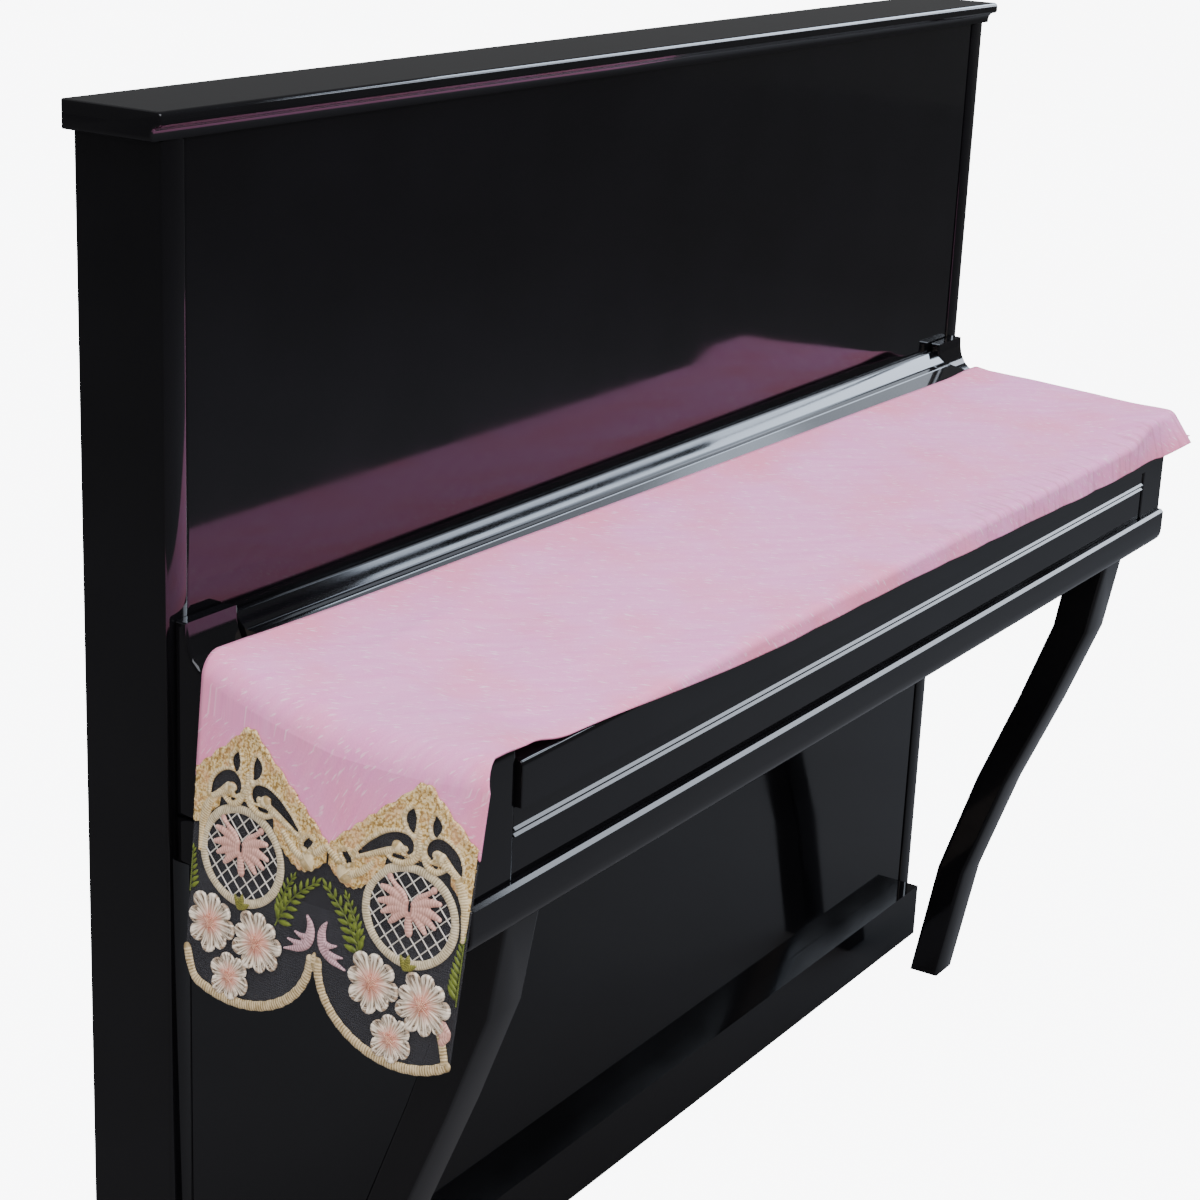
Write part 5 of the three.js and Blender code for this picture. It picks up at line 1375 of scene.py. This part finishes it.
def buildLidStrip():
    outline = lidStrip["profile"]
    x = np.linspace(-lidStrip["reach"], lidStrip["reach"], lidStrip["stations"])
    count = len(outline)
    points = [(along, y, z) for along in x for y, z in outline]
    faces = []
    for start in range(0, (len(x) - 1) * count, count):
        for k in range(count):
            n = (k + 1) % count
            faces.append([start + k, start + n, start + count + n, start + count + k])
    faces += [list(range(count))[::-1], [(len(x) - 1) * count + k for k in range(count)]]
    mesh = outwardMesh("lacquered_lid_strip", points, faces)
    mesh.set_sharp_from_angle(angle=math.radians(pianoBoards["sharp"]))
    return pieceFrom("lacquered_lid_strip", mesh, [lacquer], ["lid_strip"])


buildLidStrip()
print("piano boards polished")


# Floor, lights and world
studio = dict(
    floor="#5c5c5e", floorPale="#666668", floorCloud=3.0, floorRough=0.9, floorHalf=9000, floorZ=-1,
    floorGlow=9.0, world="#f7f8fa", seen=9.0, fill=0.75, mirrored=0.12,
    lights=[  # name, place in metres, aim, width, height, roll in degrees, power, colour
        ("overheadSoftbox", (-0.6, -1.3, 3.4), (0.0, -0.2, 0.75), 3.2, 2.2, 0, 114, "#f4f6ff"),
        ("leftSoftbox", (-3.4, -1.9, 1.9), (-0.75, -0.2, 0.6), 1.8, 1.8, 0, 80, "#ffeee2"),
        ("windowPanel", (3.1, -0.45, 2.9), (0.1, -0.05, 0.8), 1.9, 1.6, 0, 105, "#dcebff"),
        ("beadStrip", (3.2, -1.48, 2.22), (0.0, -0.3, 0.69), 0.6, 2.2, 43, 38, "#e6f0ff"),
    ],
    polishOnly=["beadStrip"],
)


def floorMaterial():
    material, tree, shader = newMaterial("paleFloor")
    place = addNode(tree, "ShaderNodeTexCoord").outputs["Object"]
    cloud = addNode(tree, "ShaderNodeTexNoise", {
        "Vector": place, "Scale": studio["floorCloud"], "Detail": 3.0})
    tone = addNode(tree, "ShaderNodeMix", {
        0: cloud.outputs[0], 6: linear(studio["floor"]), 7: linear(studio["floorPale"])}, data_type="RGBA")
    path = addNode(tree, "ShaderNodeLightPath")  # white to look at, dim in the lacquer
    glow = addNode(tree, "ShaderNodeMapRange", {
        "Value": path.outputs["Is Camera Ray"], "To Min": 0.0, "To Max": studio["floorGlow"]})
    setSockets(tree, shader, {
        "Base Color": tone.outputs[2], "Roughness": studio["floorRough"],
        "Emission Color": linear(studio["world"]), "Emission Strength": glow.outputs[0]})
    return material


corners = [(x * studio["floorHalf"], y * studio["floorHalf"], studio["floorZ"])
           for x, y in ((-1, -1), (1, -1), (1, 1), (-1, 1))]
floorMesh = meshFrom("studio_floor", corners, [(0, 1, 2, 3)])
floorMesh.materials.append(floorMaterial())
floor = bpy.data.objects.new("studio_floor", floorMesh)
bpy.context.scene.collection.objects.link(floor)

for name, place, aim, width, height, roll, power, colour in studio["lights"]:
    data = bpy.data.lights.new(name, "AREA")
    data.shape = "RECTANGLE"
    data.size = width
    data.size_y = height
    data.energy = power
    data.color = linear(colour)[:3]
    lamp = bpy.data.objects.new(name, data)
    lamp.visible_diffuse = name not in studio["polishOnly"]
    bpy.context.scene.collection.objects.link(lamp)
    away = np.array(place) - np.array(aim)
    away = away / np.linalg.norm(away)
    sideways = np.cross([0, 0, 1], away)
    sideways = sideways / np.linalg.norm(sideways)
    upright = np.cross(away, sideways)
    c, s = math.cos(math.radians(roll)), math.sin(math.radians(roll))
    turn = np.column_stack([c * sideways + s * upright, c * upright - s * sideways, away])
    lamp.matrix_world = Matrix.Translation(place) @ Matrix(turn.tolist()).to_4x4()

world = bpy.data.worlds.new("paleStudio")
world.use_nodes = True
bpy.context.scene.world = world
sky = world.node_tree
background = sky.nodes["Background"]
path = addNode(sky, "ShaderNodeLightPath")
lit = addNode(sky, "ShaderNodeMapRange", {
    "Value": path.outputs["Is Glossy Ray"], "To Min": studio["fill"], "To Max": studio["mirrored"]})
strength = addNode(sky, "ShaderNodeMix", {
    0: path.outputs["Is Camera Ray"], 2: lit.outputs[0], 3: studio["seen"]}, data_type="FLOAT")
setSockets(sky, background, {"Color": linear(studio["world"]), "Strength": strength.outputs[0]})
print("studio lit")
